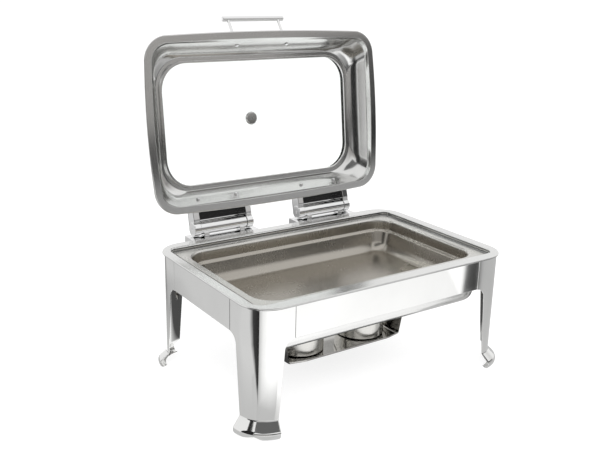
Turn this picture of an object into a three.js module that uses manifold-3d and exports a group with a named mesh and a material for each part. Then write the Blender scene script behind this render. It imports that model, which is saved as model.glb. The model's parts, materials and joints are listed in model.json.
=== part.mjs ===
// Chafing dish for one full size gastronorm pan: a stand on four corner legs, a water pan, a food
// pan, a hinged lid with a glass window, and a fuel tray with two fuel holders.
// Millimetres, +Z up, X along the length, -Y at the front, origin on the floor under the middle.

import * as THREE from 'three';
import { mergeVertices } from 'three/addons/utils/BufferGeometryUtils.js';
import Module from 'manifold-3d';

const wasm = await Module();
wasm.setup();

// Driving dimensions

const GAP = 0.3; // clearance between pieces that touch
const SHEET = 2; // thickness of legs and rails
const THIN = 1; // thickness of pans, lid and fuel holders

const STAND = { halfX: 292.5, halfY: 190, radius: 52, top: 234, railBottom: 175, ledge: 12, hem: 6 };
const LEG = { seamX: 214, seamY: 107, gusset: 20, neckX: 10, neckY: 13, neck: 30.5, rimInset: 5.6 };
const FOOT = { centreOut: 7, radius: 10, from: 53, to: -129, steps: 7 };
FOOT.centreUp = FOOT.radius * Math.cos(THREE.MathUtils.degToRad(13)); // one level facet rests on the floor
const SEAM = 0.8; // open seam between a leg and a rail
const STRAP = { width: 30, height: 44, thickness: 1.5, middle: 203 };

const FLANGE_TOP = 230; // top face of the food pan's flange
const OPENING = { halfX: 251, halfY: 148.5, radius: 45 };
const FLANGE = { halfX: 265, halfY: 162.5, radius: 12 };
const FOOD_DEPTH = 65;
const SHOULDER_DROP = 23;

const RIM_TOP = 238;
const RIM = { halfX: 295.5, halfY: 193.5, radius: 54 };
const RECESS = { halfX: 274, halfY: 167, radius: 16 };
const WELL = { halfX: 252, halfY: 164, radius: 41, floor: 138, fillet: 21 };

const HINGE = { y: 216.7, z: 252.3, middleX: 128.3, halfLength: 69.3, knuckle: 15, radius: 14.5, barrel: 13 };
const BASE = { low: 221, high: 237, back: 232, chamfer: 2, overhang: 9.5 }; // block that carries a hinge
const BASE_BOLT = { z: 227, shank: 3, head: 4.5, headHeight: 4, reach: 12 };
const LUG = { halfWidth: 6, inFromEnd: 12, front: -14, back: 2, top: -8 }; // feet of the barrel, from its axis
// The bracket's roof climbs by `rise` to the lid's wall. Its cheeks reach `chin` below the axis and `nose` past it.
const BRACKET = { plate: 2.5, low: -3.6, upstand: 6, rise: 4, endGap: 1.5, chin: 9, chinDepth: 20, nose: 6 };
const PIN_RADIUS = 4;
const CENTRE_MARK = 1.6; // radius of the mark in the end of each knuckle
const OPEN_ANGLE = 97; // degrees from closed to the resting position, leaning back on the hinges

const LID_SEAT = 239.2; // height of the lid's rim plane when it is closed
const LID_RIM = { halfX: 278.9, halfY: 176, centreY: 4, radius: 52, bow: 4.6, flange: 15.5, riser: 10.4 };
const LID_WALL = { halfX: 272, halfY: 169.1, centreY: 5.8, lean: 30 };
const WINDOW = { halfX: 226, halfY: 124, centreY: 7, radius: 55, height: 50 };
const GLASS = { thickness: 4, rise: 35, overlap: 7 };

const HANDLE = { halfLength: 75, radius: 5.5, postX: 61, postRadius: 3.25, reach: 62.9, level: 24.4 };
const NUT_LEVEL = 26.2;
const NUT_SPREAD = 44.5; // from the middle of a hinge to each of its two lid bolts
const LID_BOLT = { shank: 2.5, head: 4.6 };
const SCREW = { shank: 1.6, head: 4.2, reach: 11 };
const VENT = { hole: 1.8, stem: 4.6, radius: 12.3, cap: 11, bore: 5 };

const TRAY = { bottom: 48, halfX: 135, halfY: 65, endHalfY: 57.5, lip: 5, sheet: 1.2, spread: 17, flange: 15 };
const HOLDER = { x: 76, radius: 50, height: 55, collarDrop: 23, hole: 20 };
const SHUTTER = { radius: 24, pivot: 38, hole: 2.3, armHalf: 5, tab: 9 };
const RIVET = { shank: 2, head: 3.6, headLow: -3.2, headHigh: -1.9, cap: 4, capLow: 1.1, capHigh: 3, bevel: 1.5 };

const polished = () => new THREE.MeshStandardMaterial({ color: 0xdcdcd8, roughness: 0.12, metalness: 1 });
const satin = () => new THREE.MeshStandardMaterial({ color: 0xc4c3be, roughness: 0.35, metalness: 1 });
const clear = () => new THREE.MeshStandardMaterial({ color: 0xeef4f2, roughness: 0.03, metalness: 0 });
const rubber = () => new THREE.MeshStandardMaterial({ color: 0x3a3a38, roughness: 0.6, metalness: 0 });

const rad = THREE.MathUtils.degToRad;
const LEAN = { y: Math.cos(rad(LID_WALL.lean)), z: Math.sin(rad(LID_WALL.lean)) }; // square to a lid wall

// Geometry helpers

function welded(geometry) {
  const bare = geometry.clone();
  bare.deleteAttribute('normal');
  bare.deleteAttribute('uv');
  return mergeVertices(bare, 1e-4);
}

function solid(geometry) {
  const mesh = welded(geometry);
  const vertProperties = new Float32Array(mesh.attributes.position.array);
  const triVerts = new Uint32Array(mesh.index.array);
  return new wasm.Manifold(new wasm.Mesh({ numProp: 3, vertProperties, triVerts }));
}

function fromSolid(manifold) {
  const mesh = manifold.getMesh();
  const geometry = new THREE.BufferGeometry();
  geometry.setAttribute('position', new THREE.BufferAttribute(new Float32Array(mesh.vertProperties), 3));
  geometry.setIndex(new THREE.BufferAttribute(new Uint32Array(mesh.triVerts), 1));
  return geometry;
}

function join(...geometries) {
  return fromSolid(geometries.map(solid).reduce((sum, next) => sum.add(next)));
}

function cut(body, ...tools) {
  return fromSolid(tools.map(solid).reduce((rest, tool) => rest.subtract(tool), solid(body)));
}

// Moves each point of an open outline sideways by a distance, to the right of its direction.
function offsetOutline(points, distance) {
  return points.map((point, index) => {
    const before = points[Math.max(index - 1, 0)];
    const after = points[Math.min(index + 1, points.length - 1)];
    const first = new THREE.Vector2(point[0] - before[0], point[1] - before[1]);
    const second = new THREE.Vector2(after[0] - point[0], after[1] - point[1]);
    if (first.length() === 0) first.copy(second);
    if (second.length() === 0) second.copy(first);
    const normalA = new THREE.Vector2(first.y, -first.x).normalize();
    const normalB = new THREE.Vector2(second.y, -second.x).normalize();
    const miter = normalA.clone().add(normalB).normalize();
    const length = distance / miter.dot(normalA);
    return [point[0] + miter.x * length, point[1] + miter.y * length];
  });
}

// Points on an arc about a centre, from one angle to another in degrees.
function arc(centreA, centreB, radius, from, to, steps) {
  return Array.from({ length: steps + 1 }, (_, i) => {
    const angle = rad(from + ((to - from) * i) / steps);
    return [centreA + radius * Math.cos(angle), centreB + radius * Math.sin(angle)];
  });
}

// One level loop of points round a rounded rectangle. A bow swells the middle of each side.
function loop({ halfX, halfY, radius, z, centreY = 0, bow = 0 }, cornerSteps, sideSteps) {
  const corners = [[1, 1, 0], [-1, 1, 90], [-1, -1, 180], [1, -1, 270]];
  const points = [];
  corners.forEach(([signX, signY, start], index) => {
    const middleX = signX * (halfX - radius);
    const middleY = centreY + signY * (halfY - radius);
    for (const [x, y] of arc(middleX, middleY, radius, start, start + 90, cornerSteps)) {
      points.push(new THREE.Vector3(x, y, z));
    }
    const from = points[points.length - 1];
    const [nextX, nextY] = corners[(index + 1) % 4];
    const alongX = index % 2 === 0;
    const to = new THREE.Vector3(
      alongX ? nextX * (halfX - radius) : from.x,
      alongX ? from.y : centreY + nextY * (halfY - radius),
      z,
    );
    const outward = alongX ? new THREE.Vector3(0, signY, 0) : new THREE.Vector3(signX, 0, 0);
    for (let i = 1; i < sideSteps; i += 1) {
      const t = i / sideSteps;
      const swell = bow * (1 - (2 * t - 1) ** 2);
      points.push(from.clone().lerp(to, t).addScaledVector(outward, swell));
    }
  });
  return points;
}

// Gives each ring of a pressed sheet its partner on the other face, one thickness away.
function backRings(rings, thickness) {
  const outline = rings.map(({ halfX, halfY, z }) => [(halfX + halfY) / 2, z]);
  return offsetOutline(outline, thickness).map(([half, z], i) => {
    const shift = half - outline[i][0];
    const { halfX, halfY, radius } = rings[i];
    return { ...rings[i], halfX: halfX + shift, halfY: halfY + shift, radius: Math.max(radius + shift, 2), z };
  });
}

// Joins loops of equal length, each to the next. The ends are capped, or joined to each other.
function skin(loops, closed) {
  const count = loops[0].length;
  const positions = loops.flat().flatMap((point) => [point.x, point.y, point.z]);
  const index = [];
  const bands = closed ? loops.length : loops.length - 1;
  for (let band = 0; band < bands; band += 1) {
    const low = band * count;
    const high = ((band + 1) % loops.length) * count;
    for (let i = 0; i < count; i += 1) {
      const next = (i + 1) % count;
      index.push(low + i, low + next, high + next, low + i, high + next, high + i);
    }
  }
  if (!closed) {
    for (const [which, flip] of [[0, true], [loops.length - 1, false]]) {
      const middle = positions.length / 3;
      const centre = loops[which].reduce((sum, p) => sum.add(p), new THREE.Vector3()).divideScalar(count);
      positions.push(centre.x, centre.y, centre.z);
      for (let i = 0; i < count; i += 1) {
        const a = which * count + i;
        const b = which * count + ((i + 1) % count);
        index.push(...(flip ? [middle, b, a] : [middle, a, b]));
      }
    }
  }
  const geometry = new THREE.BufferGeometry();
  geometry.setAttribute('position', new THREE.Float32BufferAttribute(positions, 3));
  geometry.setIndex(index);
  return geometry;
}

// Flips every triangle if the surface encloses a negative volume.
function outward(geometry) {
  const body = geometry.index ? geometry : welded(geometry);
  const places = body.attributes.position;
  const index = body.index.array;
  const corner = (i) => new THREE.Vector3().fromBufferAttribute(places, index[i]);
  let volume = 0;
  for (let i = 0; i < index.length; i += 3) {
    volume += corner(i).dot(corner(i + 1).cross(corner(i + 2)));
  }
  if (volume < 0) index.reverse();
  return body;
}

function ringSkin(rings, closed, cornerSteps = 6, sideSteps = 1) {
  return skin(rings.map((ring) => loop(ring, cornerSteps, sideSteps)), closed);
}

// A prism: an outline in the Y-Z plane, pushed along X from one place to another.
function prismX(outline, fromX, toX) {
  const shape = new THREE.Shape(outline.map(([y, z]) => new THREE.Vector2(y, z)));
  const geometry = new THREE.ExtrudeGeometry(shape, { depth: toX - fromX, bevelEnabled: false });
  const turn = new THREE.Matrix4().makeBasis(
    new THREE.Vector3(0, 1, 0),
    new THREE.Vector3(0, 0, 1),
    new THREE.Vector3(1, 0, 0),
  );
  return geometry.applyMatrix4(turn).translate(fromX, 0, 0);
}

// A prism: an outline in the X-Z plane, pushed along Y from one place to another.
function prismY(outline, fromY, toY) {
  const shape = new THREE.Shape(outline.map(([x, z]) => new THREE.Vector2(x, z)));
  const geometry = new THREE.ExtrudeGeometry(shape, { depth: toY - fromY, bevelEnabled: false });
  return geometry.rotateX(Math.PI / 2).translate(0, toY, 0);
}

function box(fromX, toX, fromY, toY, fromZ, toZ) {
  const geometry = new THREE.BoxGeometry(toX - fromX, toY - fromY, toZ - fromZ);
  return geometry.translate((fromX + toX) / 2, (fromY + toY) / 2, (fromZ + toZ) / 2);
}

// A turned piece: [radius, height] points about the Z axis.
function turned(profile, segments) {
  const points = profile.map(([radius, height]) => new THREE.Vector2(radius, height));
  return new THREE.LatheGeometry(points, segments).rotateX(Math.PI / 2);
}

function rod(radius, fromX, toX, segments = 24) {
  const cylinder = new THREE.CylinderGeometry(radius, radius, toX - fromX, segments);
  return cylinder.rotateZ(Math.PI / 2).translate((fromX + toX) / 2, 0, 0);
}

// Turns a piece made about the Z axis so that its axis points along a direction in the Y-Z plane.
function aim(geometry, y, z, place) {
  const direction = new THREE.Vector3(0, y, z).normalize();
  const turn = new THREE.Quaternion().setFromUnitVectors(new THREE.Vector3(0, 0, 1), direction);
  return geometry.applyQuaternion(turn).translate(...place);
}

const model = new THREE.Group();

function add(parent, name, geometry, material) {
  const mesh = new THREE.Mesh(geometry, material);
  mesh.name = name;
  parent.add(mesh);
  return mesh;
}

// Stand

// Outer face of a leg, from the inner edge of the top ledge down to the curled tip of the foot:
// [distance out from the leg's face, height].
function legOutline() {
  const gusset = arc(0, STAND.railBottom - LEG.gusset, LEG.gusset, 90, 0, 4).map(([, z]) => [0, z]);
  const foot = arc(FOOT.centreOut, FOOT.centreUp, FOOT.radius, FOOT.from, FOOT.to, FOOT.steps);
  return [[-STAND.ledge, STAND.top], [0, STAND.top], ...gusset, [0, LEG.neck], ...foot];
}

// How far a leg's edge stands back from its seam with the rail, at each height.
function edgeInset(z, neckInset) {
  const gussetFoot = STAND.railBottom - LEG.gusset;
  if (z >= STAND.railBottom) return 0;
  if (z > gussetFoot) {
    return Math.sqrt(LEG.gusset ** 2 - (z - gussetFoot) ** 2);
  }
  if (z >= LEG.neck) {
    return LEG.gusset + (neckInset * (gussetFoot - z)) / (gussetFoot - LEG.neck);
  }
  const flare = Math.min((LEG.neck - z) / (LEG.neck - FOOT.centreUp), 1);
  return LEG.gusset + neckInset + LEG.rimInset * flare;
}

// One row of a leg's face round the corner, at a distance out from it, in steps of equal length.
function legRow(out, z, edgeZ, steps) {
  const edgeX = LEG.seamX + edgeInset(edgeZ, LEG.neckX);
  const edgeY = LEG.seamY + edgeInset(edgeZ, LEG.neckY);
  const centreX = STAND.halfX - STAND.radius;
  const centreY = STAND.halfY - STAND.radius;
  const radius = STAND.radius + out;
  const start = Math.asin(Math.max(edgeY - centreY, 0) / radius);
  const end = Math.acos(Math.max(edgeX - centreX, 0) / radius);
  const flatBefore = Math.max(centreY - edgeY, 0);
  const bend = (end - start) * radius;
  const total = flatBefore + bend + Math.max(centreX - edgeX, 0);
  return Array.from({ length: steps + 1 }, (_, i) => {
    const along = (total * i) / steps;
    if (along < flatBefore) return new THREE.Vector3(STAND.halfX + out, edgeY + along, z);
    if (along > flatBefore + bend) {
      return new THREE.Vector3(centreX - (along - flatBefore - bend), STAND.halfY + out, z);
    }
    const angle = start + (along - flatBefore) / radius;
    return new THREE.Vector3(centreX + radius * Math.cos(angle), centreY + radius * Math.sin(angle), z);
  });
}

function legGeometry(steps = 9) {
  const front = legOutline();
  const back = offsetOutline(front, SHEET).reverse();
  const heights = front.map(([, z]) => z);
  const edgeHeights = [...heights, ...heights.toReversed()];
  const loops = [...front, ...back].map(([out, z], i) => legRow(out, z, edgeHeights[i], steps));
  const across = steps + 1;
  const around = loops.length;
  const index = [];
  const quad = (a, b, c, d) => index.push(a, b, c, a, c, d);
  for (let row = 0; row < around; row += 1) {
    const next = (row + 1) % around;
    for (let i = 0; i < steps; i += 1) {
      quad(row * across + i, row * across + i + 1, next * across + i + 1, next * across + i);
    }
  }
  // The two cut edges of the sheet, between its front and back faces.
  for (let row = 0; row < front.length - 1; row += 1) {
    const corners = [row, row + 1, around - 2 - row, around - 1 - row].map((r) => r * across);
    quad(...corners);
    quad(...corners.toReversed().map((corner) => corner + steps));
  }
  const positions = loops.flat().flatMap((point) => [point.x, point.y, point.z]);
  const geometry = new THREE.BufferGeometry();
  geometry.setAttribute('position', new THREE.Float32BufferAttribute(positions, 3));
  geometry.setIndex(index);
  return outward(geometry);
}

function mirrored(geometry, signX, signY) {
  return outward(geometry.clone().applyMatrix4(new THREE.Matrix4().makeScale(signX, signY, 1)));
}

function addLegs() {
  const leg = legGeometry();
  for (const [side, signX] of [['left', -1], ['right', 1]]) {
    for (const [end, signY] of [['front', -1], ['rear', 1]]) {
      add(model, `leg_${end}_${side}`, mirrored(leg, signX, signY), polished());
    }
  }
}

// Cross-section of a rail as [distance out from its face, height], a channel open to the inside.
function railSection() {
  const front = [
    [-STAND.ledge, STAND.top],
    [0, STAND.top],
    [0, STAND.railBottom],
    [-STAND.hem, STAND.railBottom],
  ];
  return [...front, ...offsetOutline(front, SHEET).reverse()];
}

function boltPlaces() {
  const places = [];
  for (const signX of [-1, 1]) {
    for (const offset of [-NUT_SPREAD, NUT_SPREAD]) {
      places.push([signX, signX * (HINGE.middleX + offset)]);
    }
  }
  return places;
}

function addRails() {
  const long = LEG.seamX - SEAM;
  const short = LEG.seamY - SEAM;
  const rear = prismX(railSection().map(([out, z]) => [STAND.halfY + out, z]), -long, long);
  const holes = boltPlaces().map(([, x]) => {
    const tool = new THREE.CylinderGeometry(BASE_BOLT.shank + GAP, BASE_BOLT.shank + GAP, 20, 12);
    return tool.translate(x, STAND.halfY, BASE_BOLT.z);
  });
  add(model, 'rail_rear', cut(rear, ...holes), polished());
  add(model, 'rail_front', mirrored(rear, 1, -1), polished());
  const right = prismY(railSection().map(([out, z]) => [STAND.halfX + out, z]), -short, short);
  add(model, 'rail_right', right, polished());
  add(model, 'rail_left', mirrored(right, -1, 1), polished());
}

// Straps behind the seams hold the rails to the legs.
function addSeamStraps() {
  const low = STRAP.middle - STRAP.height / 2;
  const high = STRAP.middle + STRAP.height / 2;
  const inY = STAND.halfY - SHEET - GAP;
  const inX = STAND.halfX - SHEET - GAP;
  const half = STRAP.width / 2;
  const long = box(LEG.seamX - half, LEG.seamX + half, inY - STRAP.thickness, inY, low, high);
  const short = box(inX - STRAP.thickness, inX, LEG.seamY - half, LEG.seamY + half, low, high);
  for (const [side, signX] of [['left', -1], ['right', 1]]) {
    for (const [end, signY] of [['front', -1], ['rear', 1]]) {
      add(model, `seam_strap_${end}_rail_${side}`, mirrored(long, signX, signY), satin());
      add(model, `seam_strap_${side}_rail_${end}`, mirrored(short, signX, signY), satin());
    }
  }
}

// Pans

function foodPan() {
  const inset = (o, z, radius = OPENING.radius + o) => ({
    halfX: OPENING.halfX + o, halfY: OPENING.halfY + o, radius, z,
  });
  const floor = FLANGE_TOP - FOOD_DEPTH;
  const shoulder = FLANGE_TOP - SHOULDER_DROP;
  const top = [
    inset(-36, floor, 14),
    inset(-25, floor + 3),
    inset(-18, floor + 12),
    inset(-8.5, shoulder - 2),
    inset(-3, shoulder + 1),
    inset(-1.5, FLANGE_TOP - 4),
    inset(0, FLANGE_TOP - 1),
    inset(2, FLANGE_TOP),
    { ...FLANGE, z: FLANGE_TOP },
  ];
  return ringSkin([...backRings(top, THIN), ...top.reverse()], false);
}

function waterPan() {
  const { halfX, halfY, radius, floor, fillet } = WELL;
  const well = (back, up) => ({ halfX: halfX - back, halfY: halfY - back, radius: radius - back, z: floor + up });
  const bottom = arc(fillet, fillet, fillet, 270, 180, 4).map(([back, up]) => well(back, up));
  const ledge = FLANGE_TOP - THIN - GAP;
  const top = [
    ...bottom,
    { halfX: halfX + 1, halfY: halfY + 0.5, radius, z: ledge - 5 },
    { halfX: halfX + 6, halfY: halfY + 1.5, radius: radius - 4, z: ledge },
    { ...RECESS, z: ledge },
    { halfX: RECESS.halfX + 0.8, halfY: RECESS.halfY + 0.8, radius: RECESS.radius + 0.8, z: RIM_TOP - 1.5 },
    { halfX: RECESS.halfX + 3, halfY: RECESS.halfY + 3, radius: RECESS.radius + 4, z: RIM_TOP },
    { halfX: RIM.halfX - 3.5, halfY: RIM.halfY - 3.5, radius: RIM.radius - 3.5, z: RIM_TOP },
    { halfX: RIM.halfX - 0.8, halfY: RIM.halfY - 0.8, radius: RIM.radius - 0.8, z: RIM_TOP - 1.2 },
    { ...RIM, z: (RIM_TOP + STAND.top) / 2 },
  ];
  const back = backRings(top.slice(0, 9), THIN);
  const under = STAND.top + GAP;
  const hem = [
    { ...back[8], z: under },
    { halfX: RIM.halfX - 1, halfY: RIM.halfY - 1, radius: RIM.radius - 1, z: under },
  ];
  return ringSkin([...back.slice(0, 8), ...hem, ...top.reverse()], false);
}

// Fuel tray and holders

function trayOutline(inset) {
  const { halfX, halfY, endHalfY } = TRAY;
  const bend = halfX * 0.75;
  const points = [];
  for (const [signX, signY] of [[1, 1], [-1, 1], [-1, -1], [1, -1]]) {
    const corner = [
      [halfX - inset, endHalfY - inset],
      [(halfX + bend) / 2, endHalfY + (halfY - endHalfY) * 0.65 - inset],
      [bend, halfY - inset],
    ];
    const ordered = signX * signY > 0 ? corner : corner.reverse();
    points.push(...ordered.map(([x, y]) => new THREE.Vector2(signX * x, signY * y)));
  }
  return points;
}

function fuelTray() {
  const { bottom, halfX, endHalfY, lip, sheet, spread, flange } = TRAY;
  const plate = new THREE.ExtrudeGeometry(new THREE.Shape(trayOutline(0)), { depth: sheet, bevelEnabled: false });
  const lipShape = new THREE.Shape(trayOutline(0));
  lipShape.holes.push(new THREE.Path(trayOutline(sheet)));
  const lips = new THREE.ExtrudeGeometry(lipShape, { depth: lip, bevelEnabled: false });
  const top = WELL.floor - THIN - GAP;
  const face = [[halfX - 1, bottom], [halfX + spread, top], [halfX + spread + flange, top]];
  const wall = prismY([...face, ...offsetOutline(face, sheet).reverse()], -endHalfY, endHalfY);
  return join(plate.translate(0, 0, bottom), lips.translate(0, 0, bottom), wall, mirrored(wall, -1, 1));
}

function fuelHolder() {
  const { radius, height } = HOLDER;
  return turned([
    [0, 0],
    [radius - 2, 0],
    [radius, 2],
    [radius, height],
    [radius - THIN, height],
    [radius - THIN, 2.5],
    [radius - 2.5, THIN],
    [0, THIN],
  ], 24);
}

function fuelCollar() {
  const { radius, height, collarDrop, hole } = HOLDER;
  const inner = radius + 0.6;
  const ring = turned([
    [inner, height - collarDrop],
    [inner + THIN, height - collarDrop],
    [inner + THIN, height + 1],
    [inner, height + THIN + GAP],
    [hole, height + THIN + GAP],
    [hole, height + GAP],
    [inner, height + GAP],
    [inner, height - collarDrop],
  ], 24);
  const rivetHole = new THREE.CylinderGeometry(SHUTTER.hole, SHUTTER.hole, 6, 12).rotateX(Math.PI / 2);
  return cut(ring, rivetHole.translate(0, -SHUTTER.pivot, height + 1));
}

function shutter() {
  const { radius, pivot, hole, armHalf, tab } = SHUTTER;
  const disc = new THREE.CylinderGeometry(radius, radius, THIN, 32).rotateX(Math.PI / 2);
  const arm = box(-armHalf, armHalf, -pivot - 6, -radius + 4, -THIN / 2, THIN / 2);
  const fingerTab = box(radius - 3, radius + tab, -armHalf, armHalf, -THIN / 2, THIN / 2);
  const bore = new THREE.CylinderGeometry(hole, hole, 6, 12).rotateX(Math.PI / 2);
  return cut(join(disc, arm, fingerTab), bore.translate(0, -pivot, 0));
}

function addFuel() {
  add(model, 'fuel_tray', fuelTray(), polished());
  const base = TRAY.bottom + TRAY.sheet + GAP;
  const discLevel = base + HOLDER.height + THIN + 2 * GAP + THIN / 2;
  const { shank, head, headLow, headHigh, cap, capLow, capHigh, bevel } = RIVET;
  const rivet = turned([
    [0, headLow], [head, headLow], [head, headHigh], [shank, headHigh], [shank, capLow], [cap, capLow],
    [cap, capHigh - bevel / 2], [cap - bevel, capHigh], [0, capHigh],
  ], 12);
  for (const [side, signX] of [['left', -1], ['right', 1]]) {
    const x = signX * HOLDER.x;
    add(model, `fuel_holder_${side}`, fuelHolder().translate(x, 0, base), satin());
    add(model, `fuel_collar_${side}`, fuelCollar().translate(x, 0, base), satin());
    add(model, `fuel_shutter_${side}`, mirrored(shutter(), signX, 1).translate(x, 0, discLevel), satin());
    add(model, `shutter_rivet_${side}`, rivet.clone().translate(x, -SHUTTER.pivot, discLevel), satin());
  }
}

// Hinges

function hingeBase(signX) {
  const { low, high, back, chamfer } = BASE;
  const front = STAND.halfY + GAP;
  const step = RIM.halfY + 0.7; // the water pan's rim rests on the stand in front of this step
  const shoulder = STAND.top - 0.2;
  const section = [
    [front, low], [back - chamfer, low], [back, low + chamfer], [back, high - chamfer], [back - chamfer, high],
    [step, high], [step, shoulder], [front, shoulder],
  ];
  const half = HINGE.halfLength + BASE.overhang;
  const middle = signX * HINGE.middleX;
  const bores = boltPlaces().filter(([side]) => side === signX).map(([, x]) => {
    const radius = BASE_BOLT.shank + GAP;
    const tool = new THREE.CylinderGeometry(radius, radius, 2 * (BASE_BOLT.reach + 1), 12);
    return tool.translate(x, STAND.halfY, BASE_BOLT.z);
  });
  return cut(prismX(section, middle - half, middle + half), ...bores);
}

// Hinge pieces are made about the hinge's own middle and axis.
const BARREL_HALF = HINGE.halfLength - HINGE.knuckle - GAP;

function hingeBarrel() {
  const barrel = rod(HINGE.barrel, -BARREL_HALF, BARREL_HALF, 32);
  const foot = BASE.high + GAP - HINGE.z;
  const lugs = [-1, 1].map((side) => {
    const middle = side * (BARREL_HALF - LUG.inFromEnd);
    return box(middle - LUG.halfWidth, middle + LUG.halfWidth, LUG.front, LUG.back, foot, LUG.top);
  });
  return cut(join(barrel, ...lugs), rod(PIN_RADIUS + GAP, -HINGE.halfLength, HINGE.halfLength, 16));
}

// Distance from the hinge axis to the lid's rear wall, outside, at a height above the axis.
function wallLine(level) {
  const slope = Math.tan(rad(LID_WALL.lean));
  const inner = LID_WALL.centreY + LID_WALL.halfY - slope * (level + HINGE.z - LID_SEAT);
  return inner + THIN / Math.cos(rad(LID_WALL.lean)) - HINGE.y;
}

// A plate on the lid's wall, a roof over the barrel, and a cheek with a knuckle at each end.
function hingeBracket() {
  const { plate, low, upstand, rise, endGap, chin, chinDepth, nose } = BRACKET;
  const near = GAP / LEAN.y;
  const far = (GAP + plate) / LEAN.y;
  const roofLow = HINGE.barrel + 2 * GAP;
  const roofHigh = roofLow + plate;
  const high = roofHigh + upstand;
  const half = HINGE.halfLength - endGap;
  const root = (level) => [wallLine(level) + near + 0.5, level];
  const mount = prismX([
    [wallLine(low) + near, low], [wallLine(low) + far, low],
    [wallLine(high) + far, high], [wallLine(high) + near, high],
  ], -half, half);
  const roof = prismX([root(roofLow + rise), [0, roofLow], [0, roofHigh], root(roofHigh + rise)], -half, half);
  const cheek = [root(low), [-chinDepth, -chin], [0, -chin], [nose, 0], [0, roofHigh], root(roofHigh + rise)];
  const solids = [mount, roof];
  for (const side of [-1, 1]) {
    const outer = side * HINGE.halfLength;
    const inner = side * (HINGE.halfLength - HINGE.knuckle);
    const cheekOuter = outer - side * endGap;
    solids.push(rod(HINGE.radius, Math.min(inner, outer), Math.max(inner, outer), 32));
    solids.push(prismX(cheek, Math.min(inner, cheekOuter), Math.max(inner, cheekOuter)));
  }
  const bore = HINGE.halfLength - 3;
  const through = HINGE.halfLength + 1;
  const holes = [-NUT_SPREAD, NUT_SPREAD].map((x) => boltHole(x));
  return cut(
    join(...solids),
    rod(PIN_RADIUS + GAP, -bore, bore, 16),
    rod(CENTRE_MARK, -through, through, 12),
    ...holes,
  );
}

// Where a bolt on the rear wall passes through the sheet's inner face, from the hinge axis.
function nutPlace() {
  const level = NUT_LEVEL + LID_SEAT - HINGE.z;
  return [wallLine(level) - THIN / LEAN.y, level];
}

function boltHole(x) {
  const [y, z] = nutPlace();
  const tool = new THREE.CylinderGeometry(LID_BOLT.shank + GAP, LID_BOLT.shank + GAP, 20, 12).rotateX(Math.PI / 2);
  return aim(tool, LEAN.y, LEAN.z, [x, y, z]);
}

function lidBolt() {
  const { shank, head } = LID_BOLT;
  const profile = [
    [0, -GAP - 3.4], [head * 0.6, -GAP - 2.9], [head, -GAP - 1.2], [head, -GAP],
    [shank, -GAP], [shank, THIN + 4.5], [0, THIN + 4.5],
  ];
  const [y, z] = nutPlace();
  return aim(turned(profile, 16), LEAN.y, LEAN.z, [0, y, z]);
}

function addFixedHinges() {
  for (const [side, signX] of [['left', -1], ['right', 1]]) {
    add(model, `hinge_base_${side}`, hingeBase(signX), polished());
    const place = [signX * HINGE.middleX, HINGE.y, HINGE.z];
    add(model, `hinge_barrel_${side}`, hingeBarrel().translate(...place), polished());
    const pinHalf = HINGE.halfLength - 3.5;
    add(model, `hinge_pin_${side}`, rod(PIN_RADIUS, -pinHalf, pinHalf, 16).translate(...place), satin());
  }
  const bolt = turned([
    [0, -BASE_BOLT.headHeight], [BASE_BOLT.head, -BASE_BOLT.headHeight], [BASE_BOLT.head, 0],
    [BASE_BOLT.shank, 0], [BASE_BOLT.shank, BASE_BOLT.reach], [0, BASE_BOLT.reach],
  ], 6);
  boltPlaces().forEach(([signX, x]) => {
    const side = signX < 0 ? 'left' : 'right';
    const place = [x, STAND.halfY - SHEET - GAP, BASE_BOLT.z];
    const end = Math.abs(x) > HINGE.middleX ? 'outer' : 'inner';
    add(model, `hinge_base_bolt_${side}_${end}`, aim(bolt.clone(), 1, 0, place), satin());
  });
}

// Lid, made in its closed position and measured from the hinge axis

const lid = new THREE.Group();
lid.position.set(0, HINGE.y, HINGE.z);
lid.rotation.x = -rad(OPEN_ANGLE);
model.add(lid);

const lidPlace = (geometry) => geometry.translate(0, -HINGE.y, LID_SEAT - HINGE.z);

// The lid's rings at a height above its rim: a straight wall that leans in, then a round shoulder.
function wallRing(height, extra = 0) {
  const inward = Math.tan(rad(LID_WALL.lean)) * height + extra;
  return {
    halfX: LID_WALL.halfX - inward, halfY: LID_WALL.halfY - inward,
    radius: LID_RIM.radius - 4, centreY: LID_WALL.centreY, z: height,
  };
}

// A ring of the window's outline, moved out from the clear opening.
function windowRing(out, z) {
  return {
    halfX: WINDOW.halfX + out, halfY: WINDOW.halfY + out, radius: WINDOW.radius + out * 0.5,
    centreY: WINDOW.centreY, z,
  };
}

// A ring of the lid's flange, moved in from its rolled edge. The edge bows out along each side.
function rimRing(back, z) {
  return {
    halfX: LID_RIM.halfX - back, halfY: LID_RIM.halfY - back, radius: LID_RIM.radius - back,
    centreY: LID_RIM.centreY, bow: LID_RIM.bow, z,
  };
}

function lidShell() {
  const ledge = WINDOW.height - THIN;
  const inner = [
    windowRing(3.5, ledge),
    windowRing(11, ledge),
    wallRing(46.5, 3.2),
    wallRing(42, 0.8),
    wallRing(34),
    wallRing(LID_RIM.riser),
    rimRing(LID_RIM.flange, 0),
    rimRing(6, 0),
  ];
  const outer = backRings(inner, -THIN);
  const rim = [
    rimRing(1.2, 0), rimRing(0, 1.2), rimRing(0, 3.6), rimRing(1.2, 4.8), rimRing(3.2, 3.6),
  ];
  const shell = ringSkin([...inner, ...rim, ...outer.reverse()], true, 6, 4);
  const holes = [-1, 1].flatMap((side) => [-NUT_SPREAD, NUT_SPREAD].map((spread) => (
    boltHole(side * HINGE.middleX + spread)
  )));
  const posts = [-1, 1].map((side) => handleHole(side * HANDLE.postX));
  return cut(outward(lidPlace(shell)), ...holes, ...posts);
}

function windowFrame(section) {
  return outward(lidPlace(ringSkin(section.map(([out, z]) => windowRing(out, z)), true, 7, 1)));
}

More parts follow.
